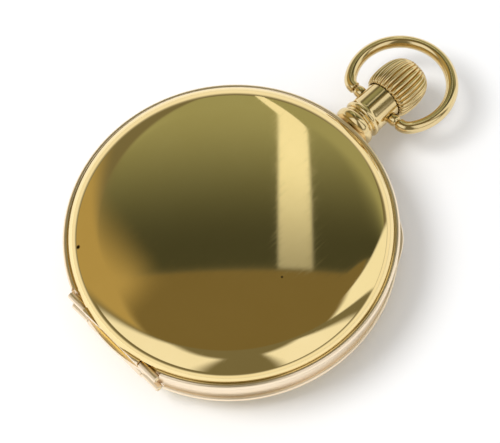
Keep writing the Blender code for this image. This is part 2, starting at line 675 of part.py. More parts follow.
def make_bezel():
    """Bezel that snaps into the band, and the domed glass in its groove."""
    outer = BAND_BORE + BEZEL_OVERLAP
    skirt = BAND_BORE - FIT_GAP
    skirt_bore = skirt - BEZEL_SKIRT_WALL
    seat = BAND_TOP + SEAT_GAP
    lip_low = DIAL_TOP + 2 * FIT_GAP
    groove_low = lip_low + 0.00025
    groove_top = groove_low + CRYSTAL_THICKNESS + 2 * FIT_GAP
    top = groove_top + 0.00035
    groove = PLATE_RADIUS + 0.0003
    lip = groove - BEZEL_LIP
    profile = [(outer, seat), (outer, seat + 0.0009), (groove, top), (lip, top), (lip, groove_top)]
    profile += [(groove, groove_top), (groove, groove_low), (lip, groove_low), (lip, lip_low)]
    skirt_low = seat - BEZEL_SKIRT_DEPTH
    profile += [(skirt_bore, lip_low), (skirt_bore, skirt_low), (skirt, skirt_low)]
    profile += [(skirt, seat)]
    add_solid("bezel", turned(profile, RING_SIDES), GOLD)

    edge = groove - 2 * FIT_GAP
    low = groove_low + FIT_GAP
    under = [(lip * share, low + CRYSTAL_RISE * (1 - share**2)) for share in (1.0, 0.75, 0.5, 0.0)]
    over = [(radius, height + CRYSTAL_THICKNESS) for radius, height in reversed(under)]
    profile = [(edge, low)] + under + over + [(edge, low + CRYSTAL_THICKNESS)]
    add_solid("crystal", turned(profile, RING_SIDES), CLEAR)


def make_pendant():
    """Pendant tube with its turned collars, and the two bosses that the bow swings in."""
    root = PENDANT_ROOT_X
    base = PENDANT_BASE_X
    stem_bore = STEM_RADIUS + STEM_CLEARANCE
    groove = base + PENDANT_COLLAR_LENGTH
    ring = groove + PENDANT_GROOVE_WIDTH
    neck = ring + PENDANT_RING_LENGTH
    floor = base + PENDANT_BORE_START
    collar_edge = PENDANT_FOOT_RADIUS + 0.7 * (PENDANT_BASE_RADIUS - PENDANT_FOOT_RADIUS)
    outer = [(PENDANT_ROOT_RADIUS, root), (PENDANT_ROOT_RADIUS, base), (PENDANT_FOOT_RADIUS, base)]
    collar = [(collar_edge, 0.2), (PENDANT_BASE_RADIUS, 0.45)]
    collar += [(PENDANT_BASE_RADIUS, 0.65), (collar_edge, 0.9)]
    for radius, share in collar:
        outer.append((radius, base + PENDANT_COLLAR_LENGTH * share))
    outer += [(PENDANT_GROOVE_RADIUS, groove), (PENDANT_GROOVE_RADIUS, ring)]
    outer += [(PENDANT_RING_RADIUS, ring + PENDANT_RING_LENGTH * share) for share in (0.3, 0.7)]
    outer += [(PENDANT_NECK_RADIUS, neck), (PENDANT_NECK_RADIUS, PENDANT_END_X)]
    inner = [(PENDANT_BORE_RADIUS, PENDANT_END_X), (PENDANT_BORE_RADIUS, floor)]
    inner += [(stem_bore, floor), (stem_bore, root)]
    axis = (0.0, 0.0, PENDANT_Z)
    add_solid("pendant", turned(outer + inner, ROUND_SIDES, "X", axis), GOLD)
    for label, side in (("left", 1), ("right", -1)):
        start = PENDANT_NECK_RADIUS + SEAT_GAP
        end = start + BOSS_LENGTH
        bore = BOW_PIN_RADIUS + 2 * PIVOT_CLEARANCE
        profile = [(0.0, start), (BOSS_RADIUS, start), (BOSS_RADIUS, end - BOSS_EDGE_ROUND)]
        profile += [(BOSS_RADIUS - BOSS_EDGE_ROUND, end), (bore, end)]
        profile += [(bore, start + BOSS_FLOOR), (0.0, start + BOSS_FLOOR)]
        profile = [(radius, side * height) for radius, height in profile]
        boss = turned(profile, SMALL_SIDES, "Y", (BOW_PIVOT_X, 0.0, PENDANT_Z))
        add_solid("bow_boss_" + label, boss, GOLD)

    pin_end = PENDANT_NECK_RADIUS + SEAT_GAP + BOW_PIN_SETIN
    shoulder = PENDANT_NECK_RADIUS + SEAT_GAP + BOSS_LENGTH + BOW_SHOULDER_GAP
    join = BOW_JOIN_ANGLE
    join_point = polar(BOW_RING_RADIUS, join, (BOW_CENTRE_X, 0.0))
    bend_start = (BOW_PIVOT_X, shoulder + BOW_BEND_START)
    bend_corner = (BOW_PIVOT_X, shoulder + BOW_BEND_CORNER)
    half = [(BOW_PIVOT_X, pin_end), (BOW_PIVOT_X, shoulder), (BOW_PIVOT_X, shoulder + SEAT_GAP)]
    radii = [BOW_PIN_RADIUS, BOW_PIN_RADIUS, BOW_WIRE_RADIUS * 0.9]
    for step in range(5):
        share = step / 4
        weights = ((1 - share) ** 2, 2 * share * (1 - share), share**2)
        corners = (bend_start, bend_corner, join_point)
        half.append(tuple(sum(w * c[k] for w, c in zip(weights, corners)) for k in (0, 1)))
        radii.append(BOW_WIRE_RADIUS)
    ring = arc(BOW_RING_RADIUS, join, -join, 22, (BOW_CENTRE_X, 0.0))[1:-1]
    path = half + ring + [(x, -y) for x, y in reversed(half)]
    sizes = radii + [BOW_WIRE_RADIUS] * len(ring) + radii[::-1]

    def section(index):
        turns = [2 * math.pi * (k + 0.5) / 8 for k in range(8)]
        return [(sizes[index] * math.cos(t), PENDANT_Z + sizes[index] * math.sin(t)) for t in turns]

    add_solid("bow", swept(path, section), GOLD, (BOW_PIVOT_X, 0.0, PENDANT_Z))


def make_crown():
    """Fluted onion crown with its shank, and the winding stem that it turns."""
    profile = [(0.88, 0.0), (0.96, 0.1), (1.0, 0.28), (1.0, 0.45), (0.93, 0.67), (0.76, 0.86), (0.45, 0.97)]
    points = []
    faces = []
    sides = CROWN_FLUTES * 2
    recess = PENDANT_NECK_RADIUS + 3 * FIT_GAP
    rings = [(recess, CROWN_X + CROWN_RECESS, 0.0), (recess, CROWN_X, 0.0)]
    rings += [(CROWN_RADIUS * r, CROWN_X + CROWN_LENGTH * x, CROWN_FLUTE_DEPTH * r) for r, x in profile]
    for radius, x, depth in rings:
        for step in range(sides):
            angle = 2 * math.pi * step / sides
            reach = radius - depth * (step % 2)
            points.append((x, reach * math.cos(angle), PENDANT_Z + reach * math.sin(angle)))
    for ring in range(len(rings) - 1):
        for step in range(sides):
            here = ring * sides + step
            after = ring * sides + (step + 1) % sides
            faces.append([here, after, after + sides, here + sides])
    points.append((CROWN_X + CROWN_RECESS, 0.0, PENDANT_Z))
    points.append((CROWN_X + CROWN_LENGTH, 0.0, PENDANT_Z))
    last = (len(rings) - 1) * sides
    for step in range(sides):
        after = (step + 1) % sides
        faces.append([step, after, len(points) - 2])
        faces.append([last + step, last + after, len(points) - 1])
    axis = (0.0, 0.0, PENDANT_Z)
    crown = add_solid("crown", (points, faces), GOLD, (CROWN_X, 0.0, PENDANT_Z))
    seat = CROWN_X + CROWN_RECESS
    shank = rod(SHANK_RADIUS, PENDANT_END_X - SHANK_DEPTH, seat + SHANK_WELD, SMALL_SIDES, "X", axis)
    combine(crown, "UNION", shank, "shank")
    stem_end = seat + STEM_SETIN
    socket_start = PENDANT_END_X - SOCKET_DEPTH
    socket_end = stem_end + SOCKET_HEADROOM
    socket = rod(STEM_RADIUS + STEM_CLEARANCE, socket_start, socket_end, SMALL_SIDES, "X", axis)
    combine(crown, "DIFFERENCE", socket, "stem_socket")

    stem_start = WINDING_PINION_X - WINDING_PINION_LENGTH / 2 - CLUTCH_LENGTH - STEM_TAIL
    stem = rod(STEM_RADIUS, stem_start, stem_end, SMALL_SIDES, "X", axis)
    add_solid("winding_stem", stem, STEEL, (stem_start, 0.0, PENDANT_Z))

    pinion_start = WINDING_PINION_X - WINDING_PINION_LENGTH / 2
    pinion_module = WINDING_PINION_RADIUS / (WINDING_PINION_LEAVES / 2 + TOOTH_TIP)
    bore = STEM_RADIUS + STEM_CLEARANCE
    loops = [gear_loop(WINDING_PINION_LEAVES, pinion_module, (0.0, 0.0), -math.pi / 2, 0.1), circle(bore)]
    flat_points, flat_faces = prism(loops, pinion_start, pinion_start + WINDING_PINION_LENGTH)
    pinion = ([(z, x, PENDANT_Z + y) for x, y, z in flat_points], flat_faces)
    add_solid("winding_pinion", pinion, STEEL, (pinion_start, 0.0, PENDANT_Z))
    clutch_end = pinion_start - CLUTCH_GAP
    clutch = rod(CLUTCH_RADIUS, clutch_end - CLUTCH_LENGTH, clutch_end, ROUND_SIDES, "X", axis, bore)
    add_solid("clutch", clutch, STEEL, (clutch_end, 0.0, PENDANT_Z))


def make_case_springs():
    """Lift spring that throws the lid open and lock spring that the crown presses in, beside the movement."""
    outer = BAND_BORE - FIT_GAP
    inner = outer - 0.0006
    low = LEDGE_TOP + SEAT_GAP
    high = BAND_TOP + SEAT_GAP - BEZEL_SKIRT_DEPTH - 2 * FIT_GAP
    spans = (("lift_spring", 120, 205, 0.0), ("lock_spring", -75, -14, 0.0002))
    for name, start, end, inset in spans:
        start, end = math.radians(start), math.radians(end)
        loop = arc(outer - inset, start, end, 14) + arc(inner - inset, end, start, 14)
        origin = (*polar(outer - inset, start), low)
        add_solid(name, prism([loop], low, high), STEEL, origin)


def screw(name, place, seat, depth, finish=STEEL):
    """A slotted screw whose head lies under its seat, on the back of the watch, with its shank going up."""
    head_top = seat - SEAT_GAP
    head_low = head_top - SCREW_HEAD_HEIGHT
    steps = [(SCREW_HEAD_RADIUS, head_low, head_top), (SCREW_SHANK_RADIUS, head_top, head_top + depth)]
    made = add_solid(name, spindle(place, steps), finish)
    half = SCREW_SLOT_WIDTH / 2
    wide = 2 * SCREW_HEAD_RADIUS
    low = (place[0] - wide, place[1] - half, head_low - CUT_MARGIN)
    high = (place[0] + wide, place[1] + half, head_low + SCREW_HEAD_HEIGHT / 2)
    combine(made, "DIFFERENCE", block(low, high), "slot")


BARREL_FEET = [polar(FOOT_CIRCLE_RADIUS, math.radians(angle)) for angle in (115, 58, -20)]
TRAIN_FEET = [polar(FOOT_CIRCLE_RADIUS, math.radians(angle)) for angle in (-40, -100)]
PALLET_SIDE = BALANCE_DIRECTION + math.radians(90)
PALLET_FOOT = polar(PALLET_COCK_LENGTH, PALLET_SIDE, PALLET)
SCREW_HOLE = SCREW_SHANK_RADIUS + STEM_CLEARANCE
FOOT_TOP = PLATE_LOW - SEAT_GAP


def pin_hole(place, radius, low, high):
    return rod(radius, low, high, SMALL_SIDES, "Z", (place[0], place[1], 0.0))


def make_plates():
    """Main plate with its dial rim, two bridges, the balance cock and the pallet cock, all screwed on."""
    rim_bore = PLATE_RADIUS - PLATE_RIM_WIDTH
    profile = [(0.0, PLATE_LOW), (PLATE_RADIUS, PLATE_LOW), (PLATE_RADIUS, RIM_TOP), (rim_bore, RIM_TOP)]
    profile += [(rim_bore, PLATE_TOP), (0.0, PLATE_TOP)]
    plate = add_solid("main_plate", turned(profile, RING_SIDES), GILT)
    post = pin_hole(MINUTE_WHEEL, ARBOR_RADIUS, PLATE_TOP - 0.0003, DIAL_LOW - 0.00015)
    combine(plate, "UNION", post, "minute_post")
    low = PLATE_LOW - CUT_MARGIN
    pivot = PIVOT_RADIUS + PIVOT_CLEARANCE
    through = RIM_TOP + CUT_MARGIN
    blind = PLATE_LOW + HOLE_DEPTH
    holes = [pin_hole(CENTRE, ARBOR_RADIUS + PIVOT_CLEARANCE, low, through)]
    holes.append(pin_hole(FOURTH, pivot, low, through))
    holes += [pin_hole(place, pivot, low, blind) for place in (THIRD, ESCAPE, PALLET, BALANCE)]
    holes.append(pin_hole(BARREL, ARBOR_RADIUS + PIVOT_CLEARANCE, low, blind))
    feet = BARREL_FEET + TRAIN_FEET + [COCK_FOOT, PALLET_FOOT] + MOVEMENT_SCREWS
    holes += [pin_hole(place, SCREW_HOLE, low, blind) for place in feet]
    slot = block((SLOT_END_X, -STEM_SLOT_HALF, low), (PLATE_RADIUS + CUT_MARGIN, STEM_SLOT_HALF, through))
    combine(plate, "DIFFERENCE", together(*holes, slot), "holes_and_stem_slot")

    split = polar(BRIDGE_RADIUS, BRIDGE_SPLIT_ANGLE)
    near = (0.0022, -0.0020)
    loop = arc(BRIDGE_RADIUS, BRIDGE_SPLIT_ANGLE, math.radians(128), 26)
    loop += [(-0.0032, 0.0032), (-0.0019, -0.0016), near]
    barrel_bridge = add_solid("barrel_bridge", prism([loop], BRIDGE_LOW, BRIDGE_TOP), GILT)
    feet = [pin_hole(place, FOOT_RADIUS, BRIDGE_LOW + 0.0004, FOOT_TOP) for place in BARREL_FEET]
    combine(barrel_bridge, "UNION", together(*feet), "feet")
    low = BRIDGE_LOW - CUT_MARGIN
    holes = [pin_hole(place, SCREW_HOLE, low, PLATE_LOW + CUT_MARGIN) for place in BARREL_FEET]
    holes.append(pin_hole(CENTRE, ARBOR_RADIUS + PIVOT_CLEARANCE, low, BRIDGE_TOP + CUT_MARGIN))
    holes.append(pin_hole(BARREL, BARREL_ARBOR_RADIUS * 0.6 + PIVOT_CLEARANCE, low, BRIDGE_TOP + CUT_MARGIN))
    holes.append(pin_hole(CLICK, SCREW_HOLE, low, BRIDGE_TOP + CUT_MARGIN))
    ring_room = CONTRATE_RADIUS + CONTRATE_WALL / 2 + 2 * STEM_CLEARANCE
    holes.append(rod(ring_room, low, BRIDGE_TOP + CUT_MARGIN, ROUND_SIDES, "Z", (*CROWN_WHEEL, 0.0)))
    combine(barrel_bridge, "DIFFERENCE", together(*holes), "holes")

    shift = 0.00025
    direction = math.atan2(split[1] - near[1], split[0] - near[0])
    moved = polar(shift, direction - math.pi / 2, near)
    loop = arc(BRIDGE_RADIUS, math.radians(-110), BRIDGE_SPLIT_ANGLE - shift / BRIDGE_RADIUS * 1.2, 16)
    loop += [moved, (0.0006, -0.0034), (-0.0036, -0.0072), (-0.0059, -0.0083), (-0.0066, -0.0098)]
    train_bridge = add_solid("train_bridge", prism([loop], BRIDGE_LOW, BRIDGE_TOP), GILT)
    feet = [pin_hole(place, FOOT_RADIUS, BRIDGE_LOW + 0.0004, FOOT_TOP) for place in TRAIN_FEET]
    combine(train_bridge, "UNION", together(*feet), "feet")
    holes = [pin_hole(place, SCREW_HOLE, low, PLATE_LOW + CUT_MARGIN) for place in TRAIN_FEET]
    holes += [pin_hole(place, pivot, low, BRIDGE_TOP + CUT_MARGIN) for place in (THIRD, FOURTH, ESCAPE)]
    combine(train_bridge, "DIFFERENCE", together(*holes), "holes")

    loop = arc(0.0016, COCK_ANGLE - math.pi * 1.5, COCK_ANGLE - math.pi * 0.5, 8, BALANCE)
    loop += arc(FOOT_RADIUS * 1.15, COCK_ANGLE - math.pi * 0.5, COCK_ANGLE + math.pi * 0.5, 8, COCK_FOOT)
    cock = add_solid("balance_cock", prism([loop], BRIDGE_LOW, BRIDGE_TOP), GILT)
    foot = pin_hole(COCK_FOOT, FOOT_RADIUS, BRIDGE_LOW + 0.0004, FOOT_TOP)
    stud_low = BRIDGE_LOW + 0.0004
    stud_high = BRIDGE_TOP + HAIRSPRING_RISE + HAIRSPRING_HEIGHT
    stud = pin_hole(SPRING_STUD, 0.0002, stud_low, stud_high)
    combine(cock, "UNION", together(foot, stud), "foot_and_stud")
    holes = [pin_hole(COCK_FOOT, SCREW_HOLE, low, PLATE_LOW + CUT_MARGIN)]
    holes.append(pin_hole(BALANCE, pivot, low, BRIDGE_TOP + CUT_MARGIN))
    combine(cock, "DIFFERENCE", together(*holes), "holes")

    cock_low = BRIDGE_TOP + PALLET_COCK_RISE
    loop = arc(0.0006, PALLET_SIDE + math.pi * 0.5, PALLET_SIDE + math.pi * 1.5, 6, PALLET)
    loop += arc(FOOT_RADIUS, PALLET_SIDE - math.pi * 0.5, PALLET_SIDE + math.pi * 0.5, 8, PALLET_FOOT)
    pallet_cock = add_solid("pallet_cock", prism([loop], cock_low, cock_low + WHEEL_THICKNESS), GILT)
    foot = pin_hole(PALLET_FOOT, FOOT_RADIUS * 0.9, cock_low + 0.0001, FOOT_TOP)
    combine(pallet_cock, "UNION", foot, "foot")
    holes = [pin_hole(PALLET_FOOT, SCREW_HOLE, low, PLATE_LOW + CUT_MARGIN)]
    holes.append(pin_hole(PALLET, pivot, low, cock_low + 0.0004))
    combine(pallet_cock, "DIFFERENCE", together(*holes), "holes")

    depth = TRAIN_ROOM + BRIDGE_THICKNESS + HOLE_DEPTH * 0.7
    for number, place in enumerate(BARREL_FEET, 1):
        screw(f"barrel_bridge_screw_{number}", place, BRIDGE_LOW, depth)
    for number, place in enumerate(TRAIN_FEET, 1):
        screw(f"train_bridge_screw_{number}", place, BRIDGE_LOW, depth)
    screw("balance_cock_screw", COCK_FOOT, BRIDGE_LOW, depth)
    screw("pallet_cock_screw", PALLET_FOOT, cock_low, PLATE_LOW - cock_low + HOLE_DEPTH * 0.7)
    ledge_low = LEDGE_TOP - LEDGE_THICKNESS
    for number, place in enumerate(MOVEMENT_SCREWS, 1):
        screw(f"movement_screw_{number}", place, ledge_low, LEDGE_THICKNESS + HOLE_DEPTH * 0.7)


CLICK = polar(pitch_radius(RATCHET_TEETH, WINDING_MODULE) + 0.0022, math.radians(150), BARREL)
SPRING_END_RADIUS = COLLET_RADIUS + 0.00015 + HAIRSPRING_PITCH * HAIRSPRING_TURNS
SPRING_STUD = polar(SPRING_END_RADIUS + 0.0003, COCK_ANGLE, BALANCE)


def arbor_with(name, place, steps, wheels, finish=BRASS):
    """An arbor with its pinion leaves and its wheel joined on."""
    made = add_solid(name, spindle(place, steps), finish, (*place, steps[0][1]))
    for label, shape in wheels:
        combine(made, "UNION", shape, label)


def make_train():
    """Barrel with its mainspring, then the centre, third, fourth and escape wheels, each with its pinion."""
    up = BRIDGE_TOP
    foot = BRIDGE_LOW + 0.0001
    top = PLATE_LOW + HOLE_DEPTH * 0.8
    barrel_low = up + BARREL_RISE
    barrel_top = barrel_low + BARREL_HEIGHT
    body = pitch_radius(BARREL_TEETH, BARREL_MODULE) - 2 * BARREL_MODULE
    cavity = body - BARREL_WALL
    floor = barrel_low + WHEEL_THICKNESS
    cover_low = barrel_top - WHEEL_THICKNESS
    hub = BARREL_ARBOR_RADIUS * 0.7
    bore = hub + PIVOT_CLEARANCE
    profile = [(bore, barrel_low), (body, barrel_low), (body, barrel_top)]
    profile += [(cavity, barrel_top), (cavity, floor)]
    profile.append((bore, floor))
    barrel = add_solid("barrel", turned(profile, 32, "Z", (*BARREL, 0.0)), BRASS, (*BARREL, barrel_low))
    phase = meshed(0.0, CENTRE_PINION_LEAVES, CENTRE, BARREL_TEETH, BARREL)
    teeth = gear_loop(BARREL_TEETH, BARREL_MODULE, BARREL, phase)
    ring = prism([teeth, circle(body - 0.0002, BARREL, 32)], barrel_low + 0.0001, barrel_low + 0.0005)
    combine(barrel, "UNION", ring, "teeth")
    cover = rod(cavity - FIT_GAP, cover_low, barrel_top, 32, "Z", (*BARREL, 0.0), bore)
    add_solid("barrel_cover", cover, BRASS, (*BARREL, barrel_low))
    inner = BARREL_ARBOR_RADIUS + 0.0002
    pitch = (cavity - 0.0002 - inner) / MAINSPRING_TURNS
    path = spiral(BARREL, inner, pitch, MAINSPRING_TURNS, 0.0)
    spring = ribbon(path, MAINSPRING_STRIP, floor + FIT_GAP, MAINSPRING_HEIGHT)
    add_solid("mainspring", spring, BLUED, (*BARREL, barrel_low))
    print_least_gap("mainspring", path, MAINSPRING_STRIP)
    square = BARREL_ARBOR_RADIUS * 0.5
    screw_bore = square * 0.6
    through = BARREL_ARBOR_RADIUS * 0.6
    profile = [(0.0, BRIDGE_LOW), (screw_bore, BRIDGE_LOW), (screw_bore, WINDING_LOW), (square, WINDING_LOW)]
    profile += [(square, BRIDGE_LOW), (through, BRIDGE_LOW), (through, up + 0.0001), (hub, up + 0.0001)]
    profile += [(hub, floor + FIT_GAP), (BARREL_ARBOR_RADIUS, floor + FIT_GAP)]
    profile += [(BARREL_ARBOR_RADIUS, cover_low - FIT_GAP), (hub, cover_low - FIT_GAP)]
    profile.append((hub, PLATE_LOW - 0.0001))
    profile += [(ARBOR_RADIUS, PLATE_LOW - 0.0001), (ARBOR_RADIUS, top), (0.0, top)]
    arbor = turned(profile, SMALL_SIDES, "Z", (*BARREL, 0.0))
    add_solid("barrel_arbor", arbor, STEEL, (*BARREL, WINDING_LOW))

    wheel_low = up + CENTRE_WHEEL_RISE
    wheel_radius = pitch_radius(CENTRE_TEETH, CENTRE_MODULE)
    loops = [gear_loop(CENTRE_TEETH, CENTRE_MODULE, CENTRE, 0.0)]
    loops += windows(4, 0.0016, wheel_radius - 0.0008, 0.0007, CENTRE)
    leaves = gear_loop(CENTRE_PINION_LEAVES, BARREL_MODULE, CENTRE, 0.0, 0.1)
    arbor_top = DIAL_TOP + MINUTE_HAND_RISE
    arbor_with(
        "centre_wheel",
        CENTRE,
        [(ARBOR_RADIUS, foot, arbor_top)],
        [
            ("wheel", prism(loops, wheel_low, wheel_low + WHEEL_THICKNESS)),
            ("pinion", prism([leaves], up + 0.0001, wheel_low + 0.0001)),
        ],
    )

    phase = meshed(0.0, CENTRE_TEETH, CENTRE, THIRD_PINION_LEAVES, THIRD)
    leaves = gear_loop(THIRD_PINION_LEAVES, CENTRE_MODULE, THIRD, phase, 0.1)
    wheel_radius = pitch_radius(THIRD_TEETH, THIRD_MODULE)
    loops = [gear_loop(THIRD_TEETH, THIRD_MODULE, THIRD, 0.0)]
    loops += windows(4, 0.0012, wheel_radius - 0.0007, 0.0006, THIRD)
    low = up + THIRD_WHEEL_RISE
    pivots = [(PIVOT_RADIUS, foot, up + 0.0001), (ARBOR_RADIUS, up + 0.0001, PLATE_LOW - 0.0001)]
    pivots.append((PIVOT_RADIUS, PLATE_LOW - 0.0001, top))
    arbor_with(
        "third_wheel",
        THIRD,
        pivots,
        [
            ("wheel", prism(loops, low, low + WHEEL_THICKNESS)),
            ("pinion", prism([leaves], wheel_low - 0.0001, wheel_low + WHEEL_THICKNESS + 0.0001)),
        ],
    )

    phase = meshed(0.0, THIRD_TEETH, THIRD, FOURTH_PINION_LEAVES, FOURTH)
    leaves = gear_loop(FOURTH_PINION_LEAVES, THIRD_MODULE, FOURTH, phase, 0.1)
    wheel_radius = pitch_radius(FOURTH_TEETH, FOURTH_MODULE)
    loops = [gear_loop(FOURTH_TEETH, FOURTH_MODULE, FOURTH, 0.0)]
    loops += windows(4, 0.0012, wheel_radius - 0.0007, 0.0006, FOURTH)
    fourth_low = up + FOURTH_WHEEL_RISE
    hand_top = DIAL_TOP + SECOND_HAND_RISE + HAND_THICKNESS
    arbor_with(
        "fourth_wheel",
        FOURTH,
        pivots[:2] + [(PIVOT_RADIUS, PLATE_LOW - 0.0001, hand_top)],
        [
            ("wheel", prism(loops, fourth_low, fourth_low + WHEEL_THICKNESS)),
            ("pinion", prism([leaves], low - 0.0001, low + WHEEL_THICKNESS + 0.0001)),
        ],
    )

    phase = meshed(0.0, FOURTH_TEETH, FOURTH, ESCAPE_PINION_LEAVES, ESCAPE)
    leaves = gear_loop(ESCAPE_PINION_LEAVES, FOURTH_MODULE, ESCAPE, phase, 0.1)
    loop = []
    for tooth in range(ESCAPE_TEETH):
        angle = 2 * math.pi * tooth / ESCAPE_TEETH
        loop.append(polar(ESCAPE_RADIUS, angle, ESCAPE))
        loop.append(polar(ESCAPE_RADIUS, angle + 0.05, ESCAPE))
        loop.append(polar(ESCAPE_RADIUS * 0.72, angle + 0.12, ESCAPE))
    low = up + ESCAPE_WHEEL_RISE
    loops = [loop] + windows(3, 0.0006, ESCAPE_RADIUS * 0.72 - 0.0003, 0.0003, ESCAPE)
    arbor_with(
        "escape_wheel",
        ESCAPE,
        [(PIVOT_RADIUS, foot, PLATE_LOW - 0.0002), (PIVOT_RADIUS, PLATE_LOW - 0.0002, top)],
        [
            ("wheel", prism(loops, low, low + WHEEL_THICKNESS)),
            ("pinion", prism([leaves], fourth_low - 0.0001, fourth_low + WHEEL_THICKNESS + 0.0001)),
        ],
        STEEL,
    )


def make_escapement():
    """Pallet fork, balance with its staff and roller, hairspring, and the regulator on the cock."""
    up = BRIDGE_TOP
    top = PLATE_LOW + HOLE_DEPTH * 0.8
    low = up + ESCAPE_WHEEL_RISE
    half = [(0.0005, 0.0002), (0.0032, 0.00013), (0.0034, 0.00045), (0.0037, 0.00045), (0.0036, 0.0002)]
    arm = [(-0.0008, 0.00185), (-0.00085, 0.0015), (0.0, 0.0007)]
    upper = half[::-1] + [(0.00045, 0.0007), (0.0002, 0.0019)] + arm
    outline = upper + [(u, -v) for u, v in reversed(upper)] + [(0.0034, 0.0)]
    cos, sin = math.cos(BALANCE_DIRECTION), math.sin(BALANCE_DIRECTION)
    loop = [(PALLET[0] + u * cos - v * sin, PALLET[1] + u * sin + v * cos) for u, v in outline]
    arbor_with(
        "pallet_fork",
        PALLET,
        [(PIVOT_RADIUS, up + PALLET_COCK_RISE + 0.00005, top)],
        [("fork", prism([loop], low, low + WHEEL_THICKNESS))],
        STEEL,
    )

    low = up + BALANCE_RISE
    roller = low + BALANCE_THICKNESS + 0.00005
    hub = BALANCE_RADIUS - BALANCE_RIM
    loops = [circle(BALANCE_RADIUS, BALANCE, 40)] + windows(2, 0.0011, hub, 0.0012, BALANCE)
    staff = [(PIVOT_RADIUS, BRIDGE_LOW + 0.0001, up + 0.0001), (COLLET_RADIUS, up + 0.0001, roller)]
    roller_top = roller + WHEEL_THICKNESS
    staff += [(0.0009, roller, roller_top), (PIVOT_RADIUS * 1.3, roller_top, PLATE_LOW)]
    staff.append((PIVOT_RADIUS, PLATE_LOW, top))
    arbor_with("balance_wheel", BALANCE, staff, [("wheel", prism(loops, low, low + BALANCE_THICKNESS))])

    inner = COLLET_RADIUS + 0.00015
    path = spiral(BALANCE, inner, HAIRSPRING_PITCH, HAIRSPRING_TURNS, COCK_ANGLE)
    spring = ribbon(path, HAIRSPRING_STRIP, up + HAIRSPRING_RISE, HAIRSPRING_HEIGHT)
    add_solid("hairspring", spring, BLUED, (*BALANCE, up + HAIRSPRING_RISE))
    print_least_gap("hairspring", path, HAIRSPRING_STRIP)

    high = BRIDGE_LOW - SEAT_GAP
    pointer = COCK_ANGLE + math.pi
    loop = arc(0.0012, pointer + 0.25, pointer + 2 * math.pi - 0.25, 16, BALANCE)
    loop += [polar(0.0050, pointer - 0.02, BALANCE), polar(0.0050, pointer + 0.02, BALANCE)]
    shape = prism([loop, circle(0.0006, BALANCE)], high - REGULATOR_THICKNESS, high)
    add_solid("regulator", shape, STEEL, (*BALANCE, high))


def make_winding_wheels():
    """Ratchet and crown wheels on the barrel bridge, with the click that holds the ratchet."""
    square = BARREL_ARBOR_RADIUS * 0.5
    phase = meshed(0.0, CROWN_WHEEL_TEETH, CROWN_WHEEL, RATCHET_TEETH, BARREL)
    loops = [gear_loop(RATCHET_TEETH, WINDING_MODULE, BARREL, phase)]
    loops.append(circle(square + PIVOT_CLEARANCE, BARREL))
    origin = (*BARREL, WINDING_LOW)
    add_solid("ratchet_wheel", prism(loops, WINDING_LOW, WINDING_TOP), STEEL, origin)
    head_top = WINDING_LOW - SEAT_GAP
    steps = [(0.0013, head_top - SCREW_HEAD_HEIGHT, head_top), (square * 0.5, head_top, BRIDGE_LOW - 0.0001)]
    add_solid("ratchet_screw", spindle(BARREL, steps), BLUED, origin)

    post_hole = 0.0007 + PIVOT_CLEARANCE
    inner = CONTRATE_RADIUS - CONTRATE_WALL / 2
    outer = CONTRATE_RADIUS + CONTRATE_WALL / 2
    tip = PENDANT_Z - WINDING_PINION_RADIUS + CONTRATE_MESH
    root = tip - 2 * CONTRATE_MESH
    loops = [gear_loop(CROWN_WHEEL_TEETH, WINDING_MODULE, CROWN_WHEEL, 0.0), circle(post_hole, CROWN_WHEEL)]
    disc = prism(loops, WINDING_LOW, WINDING_TOP)
    wheel = add_solid("crown_wheel", disc, STEEL, (*CROWN_WHEEL, WINDING_LOW))
    ring = rod(outer, WINDING_TOP - 0.0001, tip, 2 * CONTRATE_TEETH, "Z", (*CROWN_WHEEL, 0.0), inner)
    combine(wheel, "UNION", ring, "contrate_ring")
    step = 2 * math.pi / CONTRATE_TEETH
    gaps = []
    for tooth in range(CONTRATE_TEETH):
        angle = tooth * step
        loop = arc(outer + 0.0003, angle - 0.3 * step, angle + 0.3 * step, 1, CROWN_WHEEL)
        loop += arc(inner - 0.0003, angle + 0.3 * step, angle - 0.3 * step, 1, CROWN_WHEEL)
        gaps.append(prism([loop], root, tip + 0.0005))
    combine(wheel, "DIFFERENCE", together(*gaps), "contrate_gaps")
    steps = [(0.0014, head_top - SCREW_HEAD_HEIGHT, head_top), (0.0007, head_top, FOOT_TOP)]
    add_solid("crown_wheel_post", spindle(CROWN_WHEEL, steps, 16), STEEL)

    toward = math.atan2(BARREL[1] - CLICK[1], BARREL[0] - CLICK[0])
    nose = pitch_radius(RATCHET_TEETH, WINDING_MODULE) + TOOTH_TIP * WINDING_MODULE + PIVOT_CLEARANCE
    reach = math.dist(CLICK, BARREL) - nose
    loop = arc(0.0011, toward + 0.9, toward + 2 * math.pi - 0.9, 10, CLICK)
    loop += [polar(reach, toward - 0.12, CLICK), polar(reach, toward + 0.12, CLICK)]
    loops = [loop, circle(SCREW_HOLE, CLICK)]
    add_solid("click", prism(loops, WINDING_LOW, WINDING_TOP), STEEL, (*CLICK, WINDING_LOW))
    screw("click_screw", CLICK, WINDING_LOW, BRIDGE_LOW - WINDING_LOW + BRIDGE_THICKNESS * 0.9)
    away = toward + math.pi
    path = [polar(0.0012 + 0.00012 * k, away - 0.75 + 0.16 * k, CLICK) for k in range(10)]
    add_solid("click_spring", ribbon(path, 0.00015, WINDING_LOW, WINDING_WHEEL_THICKNESS), STEEL)


def hand_outline(length, hub, width):
    """A slim leaf hand along +Y with a round boss and a short tail."""
    loop = arc(hub, math.radians(-250), math.radians(70), 14)
    middle = length * 0.55
    loop += [(width, middle), (0.0, length), (-width, middle)]
    return loop


